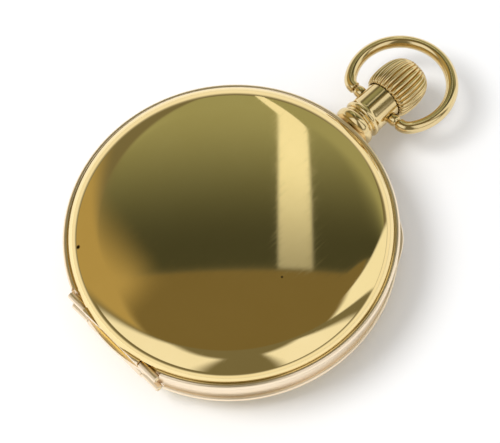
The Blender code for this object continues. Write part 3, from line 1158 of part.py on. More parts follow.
def make_dial_side():
    """Motion work under the dial, the enamel dial, and the three hands."""
    low = PLATE_TOP + 0.0001
    leaf_top = low + 0.0003
    phase = meshed(0.0, CANNON_TEETH, CENTRE, MINUTE_TEETH, MINUTE_WHEEL)
    bore = ARBOR_RADIUS + PIVOT_CLEARANCE
    tube_top = DIAL_TOP + MINUTE_HAND_RISE + HAND_THICKNESS
    cannon = rod(CANNON_RADIUS, low, tube_top, 16, "Z", (0.0, 0.0, 0.0), bore)
    made = add_solid("cannon_pinion", cannon, STEEL, (0.0, 0.0, low))
    leaves = [gear_loop(CANNON_TEETH, CANNON_MODULE, CENTRE, 0.0, 0.1)]
    leaves.append(circle(CANNON_RADIUS - 0.0001, CENTRE, 16))
    combine(made, "UNION", prism(leaves, low + 0.00002, leaf_top), "leaves")

    hole = circle(ARBOR_RADIUS + PIVOT_CLEARANCE, MINUTE_WHEEL)
    wheel = [gear_loop(MINUTE_TEETH, CANNON_MODULE, MINUTE_WHEEL, phase), hole]
    made = add_solid("minute_wheel", prism(wheel, low, leaf_top), BRASS, (*MINUTE_WHEEL, low))
    hour_low = leaf_top + 0.0001
    hour_top = hour_low + WHEEL_THICKNESS
    leaves = gear_loop(MINUTE_PINION_LEAVES, MINUTE_PINION_MODULE, MINUTE_WHEEL, 0.0, 0.1)
    pinion = prism([leaves, hole], leaf_top - 0.0001, hour_top)
    combine(made, "UNION", pinion, "pinion")

    phase = meshed(0.0, MINUTE_PINION_LEAVES, MINUTE_WHEEL, HOUR_TEETH, CENTRE)
    bore = CANNON_RADIUS + 2 * PIVOT_CLEARANCE
    tube_top = DIAL_TOP + HOUR_HAND_RISE + HAND_THICKNESS
    tube = rod(HOUR_TUBE_RADIUS, hour_low, tube_top, 16, "Z", (0.0, 0.0, 0.0), bore)
    made = add_solid("hour_wheel", tube, BRASS, (0.0, 0.0, hour_low))
    teeth = [gear_loop(HOUR_TEETH, MINUTE_PINION_MODULE, CENTRE, phase)]
    teeth.append(circle(HOUR_TUBE_RADIUS - 0.0002, CENTRE, 16))
    combine(made, "UNION", prism(teeth, hour_low + 0.00002, hour_top), "teeth")

    seconds_hole = circle(PIVOT_RADIUS + 3 * PIVOT_CLEARANCE, FOURTH)
    dial_radius = PLATE_RADIUS - 0.0001
    loops = [circle(dial_radius, CENTRE, RING_SIDES)]
    loops += [circle(HOUR_TUBE_RADIUS + 0.0002, CENTRE, 16), seconds_hole]
    add_solid("dial", prism(loops, DIAL_LOW, DIAL_TOP), ENAMEL)

    hands = (
        ("hour_hand", HOUR_HAND_LENGTH, HOUR_TUBE_RADIUS, HOUR_HAND_RISE, CENTRE, 0.0008, -55),
        ("minute_hand", MINUTE_HAND_LENGTH, CANNON_RADIUS, MINUTE_HAND_RISE, CENTRE, 0.0006, 60),
        ("second_hand", SECOND_HAND_LENGTH, PIVOT_RADIUS, SECOND_HAND_RISE, FOURTH, 0.00015, 200),
    )
    for name, length, shaft, rise, place, width, turn in hands:
        hole = shaft + PIVOT_CLEARANCE
        hub = hole + max(shaft * 0.5, 0.00025)
        angle = math.radians(turn)
        cos, sin = math.cos(angle), math.sin(angle)
        loops = []
        for loop in (hand_outline(length, hub, width), circle(hole, CENTRE, 16)):
            loops.append([(place[0] + x * cos - y * sin, place[1] + x * sin + y * cos) for x, y in loop])
        low = DIAL_TOP + rise
        add_solid(name, prism(loops, low, low + HAND_THICKNESS), BLUED, (*place, low))


make_covers()
make_band()
make_bezel()
make_pendant()
make_crown()
make_case_springs()
make_plates()
make_train()
make_escapement()
make_winding_wheels()
make_dial_side()
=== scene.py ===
"""Looks of a hunter pocket watch lying on its back: polished gold case, fluted crown, round bow, and the
dial and movement inside. Metres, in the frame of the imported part: +X to the crown, +Z out of the lid."""

import math

import bmesh
import bpy
from mathutils import Matrix, Vector


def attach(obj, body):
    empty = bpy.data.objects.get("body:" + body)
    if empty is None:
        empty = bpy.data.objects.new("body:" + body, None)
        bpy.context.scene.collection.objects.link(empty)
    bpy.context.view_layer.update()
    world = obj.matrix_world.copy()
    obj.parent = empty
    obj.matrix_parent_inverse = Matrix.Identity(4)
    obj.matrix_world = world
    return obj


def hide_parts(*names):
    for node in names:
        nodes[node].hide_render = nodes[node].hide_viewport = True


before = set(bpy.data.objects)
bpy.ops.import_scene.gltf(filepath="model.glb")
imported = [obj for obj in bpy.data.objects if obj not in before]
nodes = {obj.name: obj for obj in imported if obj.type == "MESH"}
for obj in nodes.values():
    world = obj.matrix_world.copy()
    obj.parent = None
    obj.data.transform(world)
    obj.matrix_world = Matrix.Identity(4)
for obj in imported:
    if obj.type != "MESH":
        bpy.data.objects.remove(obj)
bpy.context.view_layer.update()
MM = 0.001

# Front lid: one pressing of gold sheet, a shallow dome with a rounded shoulder that turns down to a
# crease and a rolled bead. A knuckle in the middle of its straight edge turns on a pin in the band.
LID_CREASE_Z = 9.3607
BACK_CREASE_Z = 3.6607
LID_AXIS_Z = 8.3607
BACK_AXIS_Z = 4.6607
HINGE_X = -23.7
KNUCKLE_RADIUS = 0.6
PIN_BORE = 0.40
MIDDLE_HALF = 5.85
HINGE_HALF = 9.4
SLOT_START = 5.87
SLOT_END = 9.5
SLOT_INSIDE = -22.95
SLOT_TALL = 1.25
CUT_OUTSIDE = -26.0
STRAIGHT_EDGE = -24.3
STRAIGHT_HALF = SLOT_START + 0.1
REST_FLAT_RADIUS = 14.3
STEM_BORE = 0.65
DOME_HEIGHT = 3.96
DOME_CURVE = 170.0
DOME_REACH = 21.0
SHOULDER_RADIUS = 3.5429
SHOULDER_CENTRE = 20.5624
SHOULDER_STEEP = math.radians(76)
SHOULDER_START = 19.2
CREASE_RADIUS = 24.38
DOME_SLOPE = math.asin(DOME_REACH / DOME_CURVE)
SHOULDER_RISE = DOME_HEIGHT - DOME_CURVE * (1 - math.cos(DOME_SLOPE)) - SHOULDER_RADIUS * math.cos(DOME_SLOPE)
COVER_WALL = 0.5
COVER_BORE = 23.515
CASE_TURN_STEPS = 240
GOLD_TONE = (0.92, 0.74, 0.38)
# The bead's paler tone is a painted sheen, standing in for the bright reflections that the rounded bead catches.
BEAD_SHEEN_TONE = (0.95, 0.80, 0.60)
BEAD_START = 0.0244


def new_group(name, inputs, outputs):
    """An empty shader node group with its sockets, and the nodes that carry them."""
    made = bpy.data.node_groups.new(name, "ShaderNodeTree")
    for label, kind, value in inputs:
        socket = made.interface.new_socket(label, in_out="INPUT", socket_type=kind)
        if value is not None:
            socket.default_value = value
    for label, kind in outputs:
        made.interface.new_socket(label, in_out="OUTPUT", socket_type=kind)
    return made, made.nodes.new("NodeGroupInput"), made.nodes.new("NodeGroupOutput")


def add_node(tree, kind, settings=None, values=None):
    node = tree.nodes.new(kind)
    for key, value in (settings or {}).items():
        setattr(node, key, value)
    for key, value in (values or {}).items():
        node.inputs[key].default_value = value
    return node


def hairline_group():
    """Fine polishing scratches in three directions, as a mask between 0 and 1."""
    tree, given, out = new_group(
        "hairlines",
        [("Vector", "NodeSocketVector", None), ("Density", "NodeSocketFloat", 0.5)],
        [("Mask", "NodeSocketFloat")],
    )
    total = None
    for angle, across, along in ((0.35, 11000.0, 190.0), (1.45, 9000.0, 150.0), (2.55, 13000.0, 240.0)):
        stretch = {"Rotation": (0.0, 0.0, angle), "Scale": (along, across, along)}
        turn = add_node(tree, "ShaderNodeMapping", {}, stretch)
        tree.links.new(given.outputs["Vector"], turn.inputs["Vector"])
        streak = add_node(tree, "ShaderNodeTexNoise", {}, {"Scale": 1.0, "Detail": 2.0, "Roughness": 0.6})
        tree.links.new(turn.outputs["Vector"], streak.inputs["Vector"])
        thin = add_node(tree, "ShaderNodeMapRange", {}, {"From Min": 0.62, "From Max": 0.74})
        tree.links.new(streak.outputs["Fac"], thin.inputs["Value"])
        weigh = add_node(tree, "ShaderNodeMath", {"operation": "MULTIPLY"})
        tree.links.new(thin.outputs["Result"], weigh.inputs[0])
        tree.links.new(given.outputs["Density"], weigh.inputs[1])
        if total is None:
            total = weigh.outputs[0]
        else:
            join = add_node(tree, "ShaderNodeMath", {"operation": "MAXIMUM"})
            tree.links.new(total, join.inputs[0])
            tree.links.new(weigh.outputs[0], join.inputs[1])
            total = join.outputs[0]
    tree.links.new(total, out.inputs["Mask"])
    return tree


def tone_group():
    """A slow drift of a colour between itself and a second tone, with a finer speckle."""
    tree, given, out = new_group(
        "tone_drift",
        [
            ("Vector", "NodeSocketVector", None),
            ("Colour", "NodeSocketColor", (0.8, 0.8, 0.8, 1.0)),
            ("Second", "NodeSocketColor", (0.7, 0.7, 0.7, 1.0)),
            ("Scale", "NodeSocketFloat", 90.0),
        ],
        [("Colour", "NodeSocketColor"), ("Mask", "NodeSocketFloat")],
    )
    drift = add_node(tree, "ShaderNodeTexNoise", {}, {"Detail": 5.0, "Roughness": 0.65})
    tree.links.new(given.outputs["Vector"], drift.inputs["Vector"])
    tree.links.new(given.outputs["Scale"], drift.inputs["Scale"])
    spread = add_node(tree, "ShaderNodeMapRange", {}, {"From Min": 0.35, "From Max": 0.7})
    tree.links.new(drift.outputs["Fac"], spread.inputs["Value"])
    blend = add_node(tree, "ShaderNodeMix", {"data_type": "RGBA"})
    tree.links.new(spread.outputs["Result"], blend.inputs["Factor"])
    tree.links.new(given.outputs["Colour"], blend.inputs["A"])
    tree.links.new(given.outputs["Second"], blend.inputs["B"])
    tree.links.new(blend.outputs["Result"], out.inputs["Colour"])
    tree.links.new(spread.outputs["Result"], out.inputs["Mask"])
    return tree


def rim_group():
    """A painted sheen: a paler gold standing in for the bright reflections on a bead, with a higher roughness,
    outside a set distance from the case's axis.
    """
    tree, given, out = new_group(
        "bead_painted_sheen",
        [
            ("Vector", "NodeSocketVector", None),
            ("Colour", "NodeSocketColor", (0.8, 0.8, 0.8, 1.0)),
            ("Roughness", "NodeSocketFloat", 0.1),
        ],
        [("Colour", "NodeSocketColor"), ("Roughness", "NodeSocketFloat")],
    )
    flat = add_node(tree, "ShaderNodeVectorMath", {"operation": "MULTIPLY"}, {1: (1.0, 1.0, 0.0)})
    tree.links.new(given.outputs["Vector"], flat.inputs[0])
    reach = add_node(tree, "ShaderNodeVectorMath", {"operation": "LENGTH"})
    tree.links.new(flat.outputs["Vector"], reach.inputs[0])
    edge = {"From Min": BEAD_START, "From Max": BEAD_START + 0.0001}
    rim = add_node(tree, "ShaderNodeMapRange", {}, edge)
    tree.links.new(reach.outputs["Value"], rim.inputs["Value"])
    painted_sheen = add_node(tree, "ShaderNodeMix", {"data_type": "RGBA"})
    painted_sheen.inputs["B"].default_value = (*BEAD_SHEEN_TONE, 1.0)
    tree.links.new(rim.outputs["Result"], painted_sheen.inputs["Factor"])
    tree.links.new(given.outputs["Colour"], painted_sheen.inputs["A"])
    tree.links.new(painted_sheen.outputs["Result"], out.inputs["Colour"])
    worn = add_node(tree, "ShaderNodeMath", {"operation": "MULTIPLY_ADD"}, {1: 0.24})
    tree.links.new(rim.outputs["Result"], worn.inputs[0])
    tree.links.new(given.outputs["Roughness"], worn.inputs[2])
    tree.links.new(worn.outputs[0], out.inputs["Roughness"])
    return tree


HAIRLINES = hairline_group()
TONE_DRIFT = tone_group()
BEAD_SHEEN = rim_group()


def finish(
    name, colour, second, roughness, density=0.5, metallic=1.0, drift=90.0, bump=0.12, pits=(), painted_bead_sheen=False
):
    """A worn finish: drifting tone, hairline scratches that roughen and dent it, any small pits, and where asked
    a paler gold painted on the bead as a sheen.
    """
    made = bpy.data.materials.new(name)
    made.use_nodes = True
    tree = made.node_tree
    shader = tree.nodes["Principled BSDF"]
    shader.inputs["Metallic"].default_value = metallic
    place = add_node(tree, "ShaderNodeTexCoord")
    tone = add_node(tree, "ShaderNodeGroup", {"node_tree": TONE_DRIFT})
    tone.inputs["Colour"].default_value = (*colour, 1.0)
    tone.inputs["Second"].default_value = (*second, 1.0)
    tone.inputs["Scale"].default_value = drift
    lines = add_node(tree, "ShaderNodeGroup", {"node_tree": HAIRLINES}, {"Density": density})
    tree.links.new(place.outputs["Object"], tone.inputs["Vector"])
    tree.links.new(place.outputs["Object"], lines.inputs["Vector"])
    rough = add_node(tree, "ShaderNodeMapRange", {}, {"To Min": roughness, "To Max": roughness + 0.12})
    tree.links.new(lines.outputs["Mask"], rough.inputs["Value"])
    rough_out = rough.outputs["Result"]
    height = lines.outputs["Mask"]
    colour_out = tone.outputs["Colour"]
    # Painted sheen: beyond a set radius the bead turns paler, standing in for its bright reflections.
    if painted_bead_sheen:
        rim = add_node(tree, "ShaderNodeGroup", {"node_tree": BEAD_SHEEN})
        tree.links.new(place.outputs["Object"], rim.inputs["Vector"])
        tree.links.new(colour_out, rim.inputs["Colour"])
        tree.links.new(rough_out, rim.inputs["Roughness"])
        colour_out = rim.outputs["Colour"]
        rough_out = rim.outputs["Roughness"]
    tree.links.new(rough_out, shader.inputs["Roughness"])
    for centre, radius in pits:
        gap = add_node(tree, "ShaderNodeVectorMath", {"operation": "DISTANCE"}, {1: centre})
        tree.links.new(place.outputs["Object"], gap.inputs[0])
        hole = add_node(tree, "ShaderNodeMapRange", {}, {"From Min": radius, "From Max": radius * 0.5})
        tree.links.new(gap.outputs["Value"], hole.inputs["Value"])
        dark = add_node(tree, "ShaderNodeMix", {"data_type": "RGBA"})
        dark.inputs["B"].default_value = (0.02, 0.014, 0.006, 1.0)
        tree.links.new(hole.outputs["Result"], dark.inputs["Factor"])
        tree.links.new(colour_out, dark.inputs["A"])
        colour_out = dark.outputs["Result"]
    tree.links.new(colour_out, shader.inputs["Base Color"])
    dent = add_node(tree, "ShaderNodeBump", {"invert": True}, {"Strength": bump, "Distance": 0.00001})
    tree.links.new(height, dent.inputs["Height"])
    tree.links.new(dent.outputs["Normal"], shader.inputs["Normal"])
    return made


def turned(profile, steps, axis="Z", centre=(0.0, 0.0, 0.0)):
    """Points and faces of a closed profile of (radius, height) in mm, turned about an axis."""
    points = []
    faces = []
    for turn in range(steps):
        angle = 2 * math.pi * (turn + 0.5) / steps
        for radius, height in profile:
            across = radius * math.cos(angle)
            up = radius * math.sin(angle)
            spot = {"X": (height, across, up), "Y": (up, height, across), "Z": (across, up, height)}[axis]
            points.append(tuple(a + b for a, b in zip(centre, spot)))
    count = len(profile)
    for turn in range(steps):
        here = turn * count
        after = (turn + 1) % steps * count
        for k in range(count):
            n = (k + 1) % count
            faces.append((here + k, here + n, after + n, after + k))
    return points, faces


def bar(radius, low, high, axis="Y", centre=(0.0, 0.0, 0.0), bore=0.0, steps=48, edge=0.06):
    """A round bar or tube along an axis, with softened ends."""
    rim = radius - edge
    profile = [(bore, low), (rim, low), (radius, low + edge), (radius, high - edge)]
    profile += [(rim, high), (bore, high)]
    return turned(profile, steps, axis, centre)


def box_shape(low, high):
    (x0, y0, z0), (x1, y1, z1) = low, high
    points = [(x, y, z) for x in (x0, x1) for y in (y0, y1) for z in (z0, z1)]
    faces = [(0, 1, 3, 2), (4, 6, 7, 5), (0, 4, 5, 1), (2, 3, 7, 6), (0, 2, 6, 4), (1, 5, 7, 3)]
    return points, faces


def solid(name, *shapes):
    """A mesh object from shapes in mm, welded and with its faces turned outward."""
    mesh = bpy.data.meshes.new(name)
    build = bmesh.new()
    for points, faces in shapes:
        placed = [build.verts.new(Vector(point) * MM) for point in points]
        for corners in faces:
            build.faces.new([placed[k] for k in corners])
    bmesh.ops.remove_doubles(build, verts=build.verts, dist=1e-7)
    bmesh.ops.dissolve_degenerate(build, edges=build.edges, dist=1e-8)
    bmesh.ops.recalc_face_normals(build, faces=build.faces)
    build.to_mesh(mesh)
    build.free()
    made = bpy.data.objects.new(name, mesh)
    bpy.context.scene.collection.objects.link(made)
    return made


def carve(piece, how, *shapes):
    """Cuts shapes from a piece or joins them to it, and keeps the result as its mesh."""
    for shape in shapes:
        tool = solid("tool", shape)
        step = piece.modifiers.new("carve", "BOOLEAN")
        step.operation = how
        step.solver = "EXACT"
        step.object = tool
        graph = bpy.context.evaluated_depsgraph_get()
        mesh = bpy.data.meshes.new_from_object(piece.evaluated_get(graph))
        piece.modifiers.clear()
        old = piece.data
        piece.data = mesh
        bpy.data.meshes.remove(old)
        bpy.data.objects.remove(tool)
    return piece


def show(piece, material, body, replaced=(), sharp=32.0):
    """Smooths a piece, gives it its finish, and ties it to its body and the CAD nodes it stands for."""
    if piece.type == "MESH":
        piece.data.shade_smooth()
        piece.data.set_sharp_from_angle(angle=math.radians(sharp))
    piece.data.materials.clear()
    piece.data.materials.append(material)
    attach(piece, body)
    if replaced:
        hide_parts(*replaced)
    return piece


def cover_profile(crease, side, flat=None):
    """Half section of a domed cover, outside first. Side +1 rises from its bead and -1 hangs from it."""
    outer = []
    for step in range(27):
        radius = SHOULDER_START * step / 26
        outer.append((radius, DOME_HEIGHT - DOME_CURVE + math.sqrt(DOME_CURVE**2 - radius**2)))
    slope = math.asin(SHOULDER_START / DOME_CURVE)
    corners = [outer[-1]]
    corners.append((SHOULDER_START + 3.0 * math.cos(slope), outer[-1][1] - 3.0 * math.sin(slope)))
    corners.append((CREASE_RADIUS - 1.7 * math.cos(SHOULDER_STEEP), 1.7 * math.sin(SHOULDER_STEEP)))
    corners.append((CREASE_RADIUS, 0.0))
    for step in range(1, 29):
        t = step / 28
        weights = ((1 - t) ** 3, 3 * t * (1 - t) ** 2, 3 * t * t * (1 - t), t**3)
        outer.append(tuple(sum(w * c[k] for w, c in zip(weights, corners)) for k in (0, 1)))
    outer += [(24.42, 0.0), (24.48, 0.05), (24.58, 0.1), (24.7, 0.115), (24.82, 0.1), (24.93, 0.05)]
    outer += [(25.03, -0.05), (25.13, -0.19), (25.18, -0.36), (25.19, -0.55), (25.18, -0.74), (25.12, -0.87)]
    outer += [(25.0, -0.94), (24.7, -0.95), (COVER_BORE, -0.95)]
    inner = []
    for step in range(12, 0, -1):
        slope = DOME_SLOPE + (SHOULDER_STEEP - DOME_SLOPE) * step / 12
        curve = SHOULDER_RADIUS - COVER_WALL
        inner.append((SHOULDER_CENTRE + curve * math.sin(slope), SHOULDER_RISE + curve * math.cos(slope)))
    for step in range(8, -1, -1):
        radius = DOME_REACH * 0.985 * step / 8
        curve = DOME_CURVE - COVER_WALL
        inner.append((radius, DOME_HEIGHT - DOME_CURVE + math.sqrt(curve**2 - radius**2)))
    placed = [(radius, crease + side * rise) for radius, rise in outer]
    within = [(radius, crease + side * rise) for radius, rise in inner]
    if flat is not None:
        placed = [(0.0, 0.0), (flat, 0.0)] + placed[26:]
        within = [(radius, max(height, COVER_WALL)) for radius, height in within]
    return placed + within


def pin_hole(axis_z):
    return bar(PIN_BORE, -20.0, 20.0, "Y", (HINGE_X, 0.0, axis_z), steps=32)


def hinge_slots(axis_z):
    """Room in a cover for the band's knuckles, and the straight edge along the cover's own knuckle."""
    bottom = axis_z - SLOT_TALL
    top = axis_z + SLOT_TALL
    return [
        box_shape((CUT_OUTSIDE, -SLOT_END, bottom), (SLOT_INSIDE, -SLOT_START, top)),
        box_shape((CUT_OUTSIDE, SLOT_START, bottom), (SLOT_INSIDE, SLOT_END, top)),
        box_shape((CUT_OUTSIDE, -STRAIGHT_HALF, bottom), (STRAIGHT_EDGE, STRAIGHT_HALF, top)),
    ]


POLISHED_GOLD = finish("polished_gold", GOLD_TONE, (0.88, 0.70, 0.34), 0.075, 0.5)
# These golds paint a paler sheen on the bead and on the band's face, standing in for their bright reflections.
RIM_GOLD_SHEEN = finish("rim_gold_painted_sheen", GOLD_TONE, (0.88, 0.70, 0.34), 0.075, 0.5, painted_bead_sheen=True)
LID_PITS = [((-0.018444, 0.013031, 0.011413), 0.0004), ((-0.001282, -0.012318, 0.012869), 0.0002)]
LID_GOLD = finish("lid_gold", GOLD_TONE, (0.89, 0.71, 0.35), 0.035, 0.5, bump=0.04, pits=LID_PITS, painted_bead_sheen=True)
lid = solid("lid_shell", turned(cover_profile(LID_CREASE_Z, 1), CASE_TURN_STEPS))
carve(lid, "DIFFERENCE", *hinge_slots(LID_AXIS_Z))
carve(lid, "UNION", bar(KNUCKLE_RADIUS, -MIDDLE_HALF, MIDDLE_HALF, "Y", (HINGE_X, 0.0, LID_AXIS_Z)))
carve(lid, "DIFFERENCE", pin_hole(LID_AXIS_Z))
show(lid, LID_GOLD, "front_lid", ["front_lid"])

# Back cover: the same pressing turned over, flat in the middle where it rests, with a thumb lip on its
# bead to prise it open. Its knuckles leave a notch for the dust cover's own.
back = solid("back_shell", turned(cover_profile(BACK_CREASE_Z, -1, REST_FLAT_RADIUS), CASE_TURN_STEPS))
carve(back, "DIFFERENCE", *hinge_slots(BACK_AXIS_Z))
notch = box_shape((-25.9, -1.58, BACK_AXIS_Z - 0.85), (-22.7, 1.58, 5.7107))
carve(back, "DIFFERENCE", notch)
for side in (-1, 1):
    ends = sorted((side * 1.6, side * MIDDLE_HALF))
    carve(back, "UNION", bar(KNUCKLE_RADIUS, ends[0], ends[1], "Y", (HINGE_X, 0.0, BACK_AXIS_Z)))
carve(back, "DIFFERENCE", pin_hole(BACK_AXIS_Z))
lip_points = []
lip_faces = []
LIP_STEPS = 40
for step in range(LIP_STEPS + 1):
    share = step / LIP_STEPS * 2 - 1
    angle = math.radians(-43 + 13 * share)
    swell = 0.74 * math.cos(share * math.pi / 2) ** 1.5
    lip_edge = [(24.9, 3.99), (25.1 + swell * 0.9, 4.02), (25.15 + swell, 4.2), (25.15 + swell, 4.36)]
    for reach, height in lip_edge:
        lip_points.append((reach * math.cos(angle), reach * math.sin(angle), height))
    upper = 25.1 + swell * 0.9
    lip_points.append((upper * math.cos(angle), upper * math.sin(angle), 4.5))
    lip_points.append((24.9 * math.cos(angle), 24.9 * math.sin(angle), 4.515))
for step in range(LIP_STEPS):
    for k in range(6):
        here = step * 6 + k
        after = step * 6 + (k + 1) % 6
        lip_faces.append((here, after, after + 6, here + 6))
lip_faces += [tuple(range(6)), tuple(range(LIP_STEPS * 6, LIP_STEPS * 6 + 6))]
carve(back, "UNION", (lip_points, lip_faces))
show(back, RIM_GOLD_SHEEN, "back_cover", ["back_cover"])

# Case band: a turned ring between the covers with an inner ledge for the movement, and two pairs of
# knuckles soldered to its straight edge for the hinge pins.
BAND_LOW = 4.7107
BAND_TOP = 8.3107
SWEEP_HALF = 5.93
SWEEP_TALL = 1.34
KNUCKLE_ROOM = 0.75
END_KNUCKLE_START = 5.95
PENDANT_Z = 6.5107
band_profile = [(22.4, BAND_LOW), (24.6, BAND_LOW), (24.72, BAND_LOW + 0.06), (24.79, BAND_LOW + 0.2)]
band_profile += [(24.79, BAND_TOP - 0.2), (24.72, BAND_TOP - 0.06), (24.6, BAND_TOP), (22.5, BAND_TOP)]
band_profile += [(22.4, BAND_TOP - 0.1), (22.4, 6.0107), (19.2, 6.0107), (19.2, 5.2107), (22.4, 5.2107)]
band = solid("band_ring", turned(band_profile, CASE_TURN_STEPS))
for axis_z in (LID_AXIS_Z, BACK_AXIS_Z):
    swept = box_shape((-26.9, -SWEEP_HALF, axis_z - SWEEP_TALL), (HINGE_X, SWEEP_HALF, axis_z + SWEEP_TALL))
    carve(band, "DIFFERENCE", swept)
    room = bar(KNUCKLE_ROOM, -SWEEP_HALF, SWEEP_HALF, "Y", (HINGE_X, 0.0, axis_z), edge=0.001)
    carve(band, "DIFFERENCE", room)
    for side in (-1, 1):
        ends = sorted((side * END_KNUCKLE_START, side * HINGE_HALF))
        carve(band, "UNION", bar(KNUCKLE_RADIUS, ends[0], ends[1], "Y", (HINGE_X, 0.0, axis_z)))
    carve(band, "DIFFERENCE", pin_hole(axis_z))
carve(band, "DIFFERENCE", bar(STEM_BORE, 17.2, 26.2, "X", (0.0, 0.0, PENDANT_Z), edge=0.01))
show(band, RIM_GOLD_SHEEN, "case", ["case_band"])

# Pendant: a turned tube soldered to the band, with a flared base, a collar, a groove and a thin ring
# below its plain neck. The two bosses on its sides carry the ends of the bow.
def smooth_curve(points, steps):
    """Points along a smooth curve through the given ones."""
    padded = [points[0]] + list(points) + [points[-1]]
    out = []
    for k in range(1, len(padded) - 2):
        p0, p1, p2, p3 = padded[k - 1 : k + 3]
        for step in range(steps):
            t = step / steps
            spot = []
            for a, b, c, d in zip(p0, p1, p2, p3):
                square = 2 * a - 5 * b + 4 * c - d
                cube = 3 * b - a - 3 * c + d
                spot.append(0.5 * (2 * b + (c - a) * t + square * t * t + cube * t**3))
            out.append(tuple(spot))
    return out + [tuple(points[-1])]


BOW_GOLD = finish("bow_gold", (0.82, 0.66, 0.36), (0.74, 0.58, 0.30), 0.12, 0.6)
BASE_X = 25.4
ROOT_X = 24.85
ROOT_RADIUS = 1.6
PENDANT_END_X = 34.1
PENDANT_BORE = 2.0
PENDANT_BORE_X = 27.0
neck_keys = [(2.7, 0.0), (2.95, 0.15), (3.2, 0.4), (3.38, 0.75), (3.44, 1.15), (3.38, 1.55), (3.18, 1.88)]
neck_keys += [(2.86, 2.08), (2.74, 2.28), (2.8, 2.48), (3.1, 2.66), (3.26, 2.9), (3.26, 3.2), (3.16, 3.44)]
neck_keys += [(3.09, 3.7), (3.09, 4.2), (3.09, 5.0), (3.09, 8.3)]
pendant_profile = [(ROOT_RADIUS, ROOT_X), (ROOT_RADIUS, BASE_X)]
pendant_profile += [(radius, BASE_X + reach) for radius, reach in smooth_curve(neck_keys, 4)]
pendant_profile += [(3.05, PENDANT_END_X - 0.06), (2.95, PENDANT_END_X), (PENDANT_BORE, PENDANT_END_X)]
pendant_profile += [(PENDANT_BORE, PENDANT_BORE_X), (STEM_BORE, PENDANT_BORE_X), (STEM_BORE, ROOT_X)]
pendant = solid("pendant_tube", turned(pendant_profile, 128, "X", (0.0, 0.0, PENDANT_Z)))
show(pendant, BOW_GOLD, "case", ["pendant"], 28.0)
BOW_PIVOT_X = 31.7
for label, side in (("left", 1), ("right", -1)):
    boss_profile = [(0.0, 3.1), (0.92, 3.1), (0.97, 3.3), (0.99, 3.55), (0.98, 3.8), (0.94, 4.02)]
    boss_profile += [(0.86, 4.24), (0.74, 4.41), (0.57, 4.53)]
    boss_profile += [(0.57, 3.55), (0.0, 3.55)]
    boss_profile = [(radius, side * reach) for radius, reach in boss_profile]
    boss = solid("boss_" + label, turned(boss_profile, 48, "Y", (BOW_PIVOT_X, 0.0, PENDANT_Z)))
    show(boss, BOW_GOLD, "case", ["bow_boss_" + label])

# Bow: a ring of round gold wire, sprung open to fit. Its ends turn in towards the pendant, are rounded,
# and are drawn down to short pins that swing in the bosses.
BOW_CENTRE_X = 37.2
RING_RADIUS = 8.03
WIRE = 0.985
BOW_JOIN = math.radians(125)
join_point = (BOW_CENTRE_X + RING_RADIUS * math.cos(BOW_JOIN), RING_RADIUS * math.sin(BOW_JOIN))
bow_half = [((BOW_PIVOT_X, 3.66), 0.44), ((BOW_PIVOT_X, 4.64), 0.44), ((BOW_PIVOT_X, 4.66), 0.86)]
bow_half += [((BOW_PIVOT_X, 4.69), 0.93), ((BOW_PIVOT_X, 4.75), 0.97), ((BOW_PIVOT_X, 4.85), WIRE)]
for step in range(1, 13):
    share = step / 12
    weights = ((1 - share) ** 2, 2 * share * (1 - share), share**2)
    corners = ((BOW_PIVOT_X, 5.05), (BOW_PIVOT_X, 5.85), join_point)
    bow_half.append((tuple(sum(w * c[k] for w, c in zip(weights, corners)) for k in (0, 1)), WIRE))
RING_STEPS = 120
bow_path = list(bow_half)
for step in range(1, RING_STEPS):
    angle = BOW_JOIN * (1 - 2 * step / RING_STEPS)
    spot = (BOW_CENTRE_X + RING_RADIUS * math.cos(angle), RING_RADIUS * math.sin(angle))
    bow_path.append((spot, WIRE))
bow_path += [((x, -y), size) for (x, y), size in reversed(bow_half)]
TUBE = 24
bow_points = []
for index, ((x, y), size) in enumerate(bow_path):
    before = bow_path[max(index - 1, 0)][0]
    after = bow_path[min(index + 1, len(bow_path) - 1)][0]
    run = Vector((after[0] - before[0], after[1] - before[1])).normalized()
    for k in range(TUBE):
        angle = 2 * math.pi * k / TUBE
        out = size * math.cos(angle)
        bow_points.append((x - run.y * out, y + run.x * out, PENDANT_Z + size * math.sin(angle)))
bow_faces = []
for index in range(len(bow_path) - 1):
    for k in range(TUBE):
        here = index * TUBE + k
        after = index * TUBE + (k + 1) % TUBE
        bow_faces.append((here, after, after + TUBE, here + TUBE))
bow_faces += [tuple(range(TUBE)), tuple(range(len(bow_points) - TUBE, len(bow_points)))]
bow = solid("bow_ring", (bow_points, bow_faces))
show(bow, BOW_GOLD, "bow", ["bow"], 50.0)

# Crown: an onion of gold with coarse rounded flutes that die out on its domed tip, a recess over the
# pendant's neck, and a shank that takes the squared end of the winding stem.
CROWN_X = 33.4
CROWN_LENGTH = 7.5
CROWN_RADIUS = 4.14
FLUTES = 30
FLUTE_STEPS = 12
FLUTE_DEPTH = 0.62
SHANK_RADIUS = 1.4
RECESS_RADIUS = 3.3
RECESS_X = 34.9
crown_keys = [(0.80, 0.0, 0.4), (0.86, 0.012, 0.7), (0.91, 0.04, 1.0), (0.965, 0.12, 1.0), (1.0, 0.28, 1.0)]
crown_keys += [(1.0, 0.45, 1.0), (0.965, 0.6, 1.0), (0.89, 0.74, 1.0), (0.76, 0.86, 0.9), (0.58, 0.94, 0.65)]
crown_keys += [(0.4, 0.98, 0.3), (0.22, 0.996, 0.0), (0.06, 1.0, 0.0)]
crown_rings = [(STEM_BORE + 0.01, PENDANT_END_X, 0.0), (SHANK_RADIUS, PENDANT_END_X, 0.0)]
crown_rings += [(SHANK_RADIUS, RECESS_X, 0.0), (RECESS_RADIUS, RECESS_X, 0.0)]
crown_rings.append((RECESS_RADIUS, CROWN_X + 0.02, 0.0))
crown_rings += [
    (CROWN_RADIUS * radius, CROWN_X + CROWN_LENGTH * reach, FLUTE_DEPTH * depth)
    for radius, reach, depth in smooth_curve(crown_keys, 4)
]
crown_points = []
crown_faces = []
crown_sides = FLUTES * FLUTE_STEPS
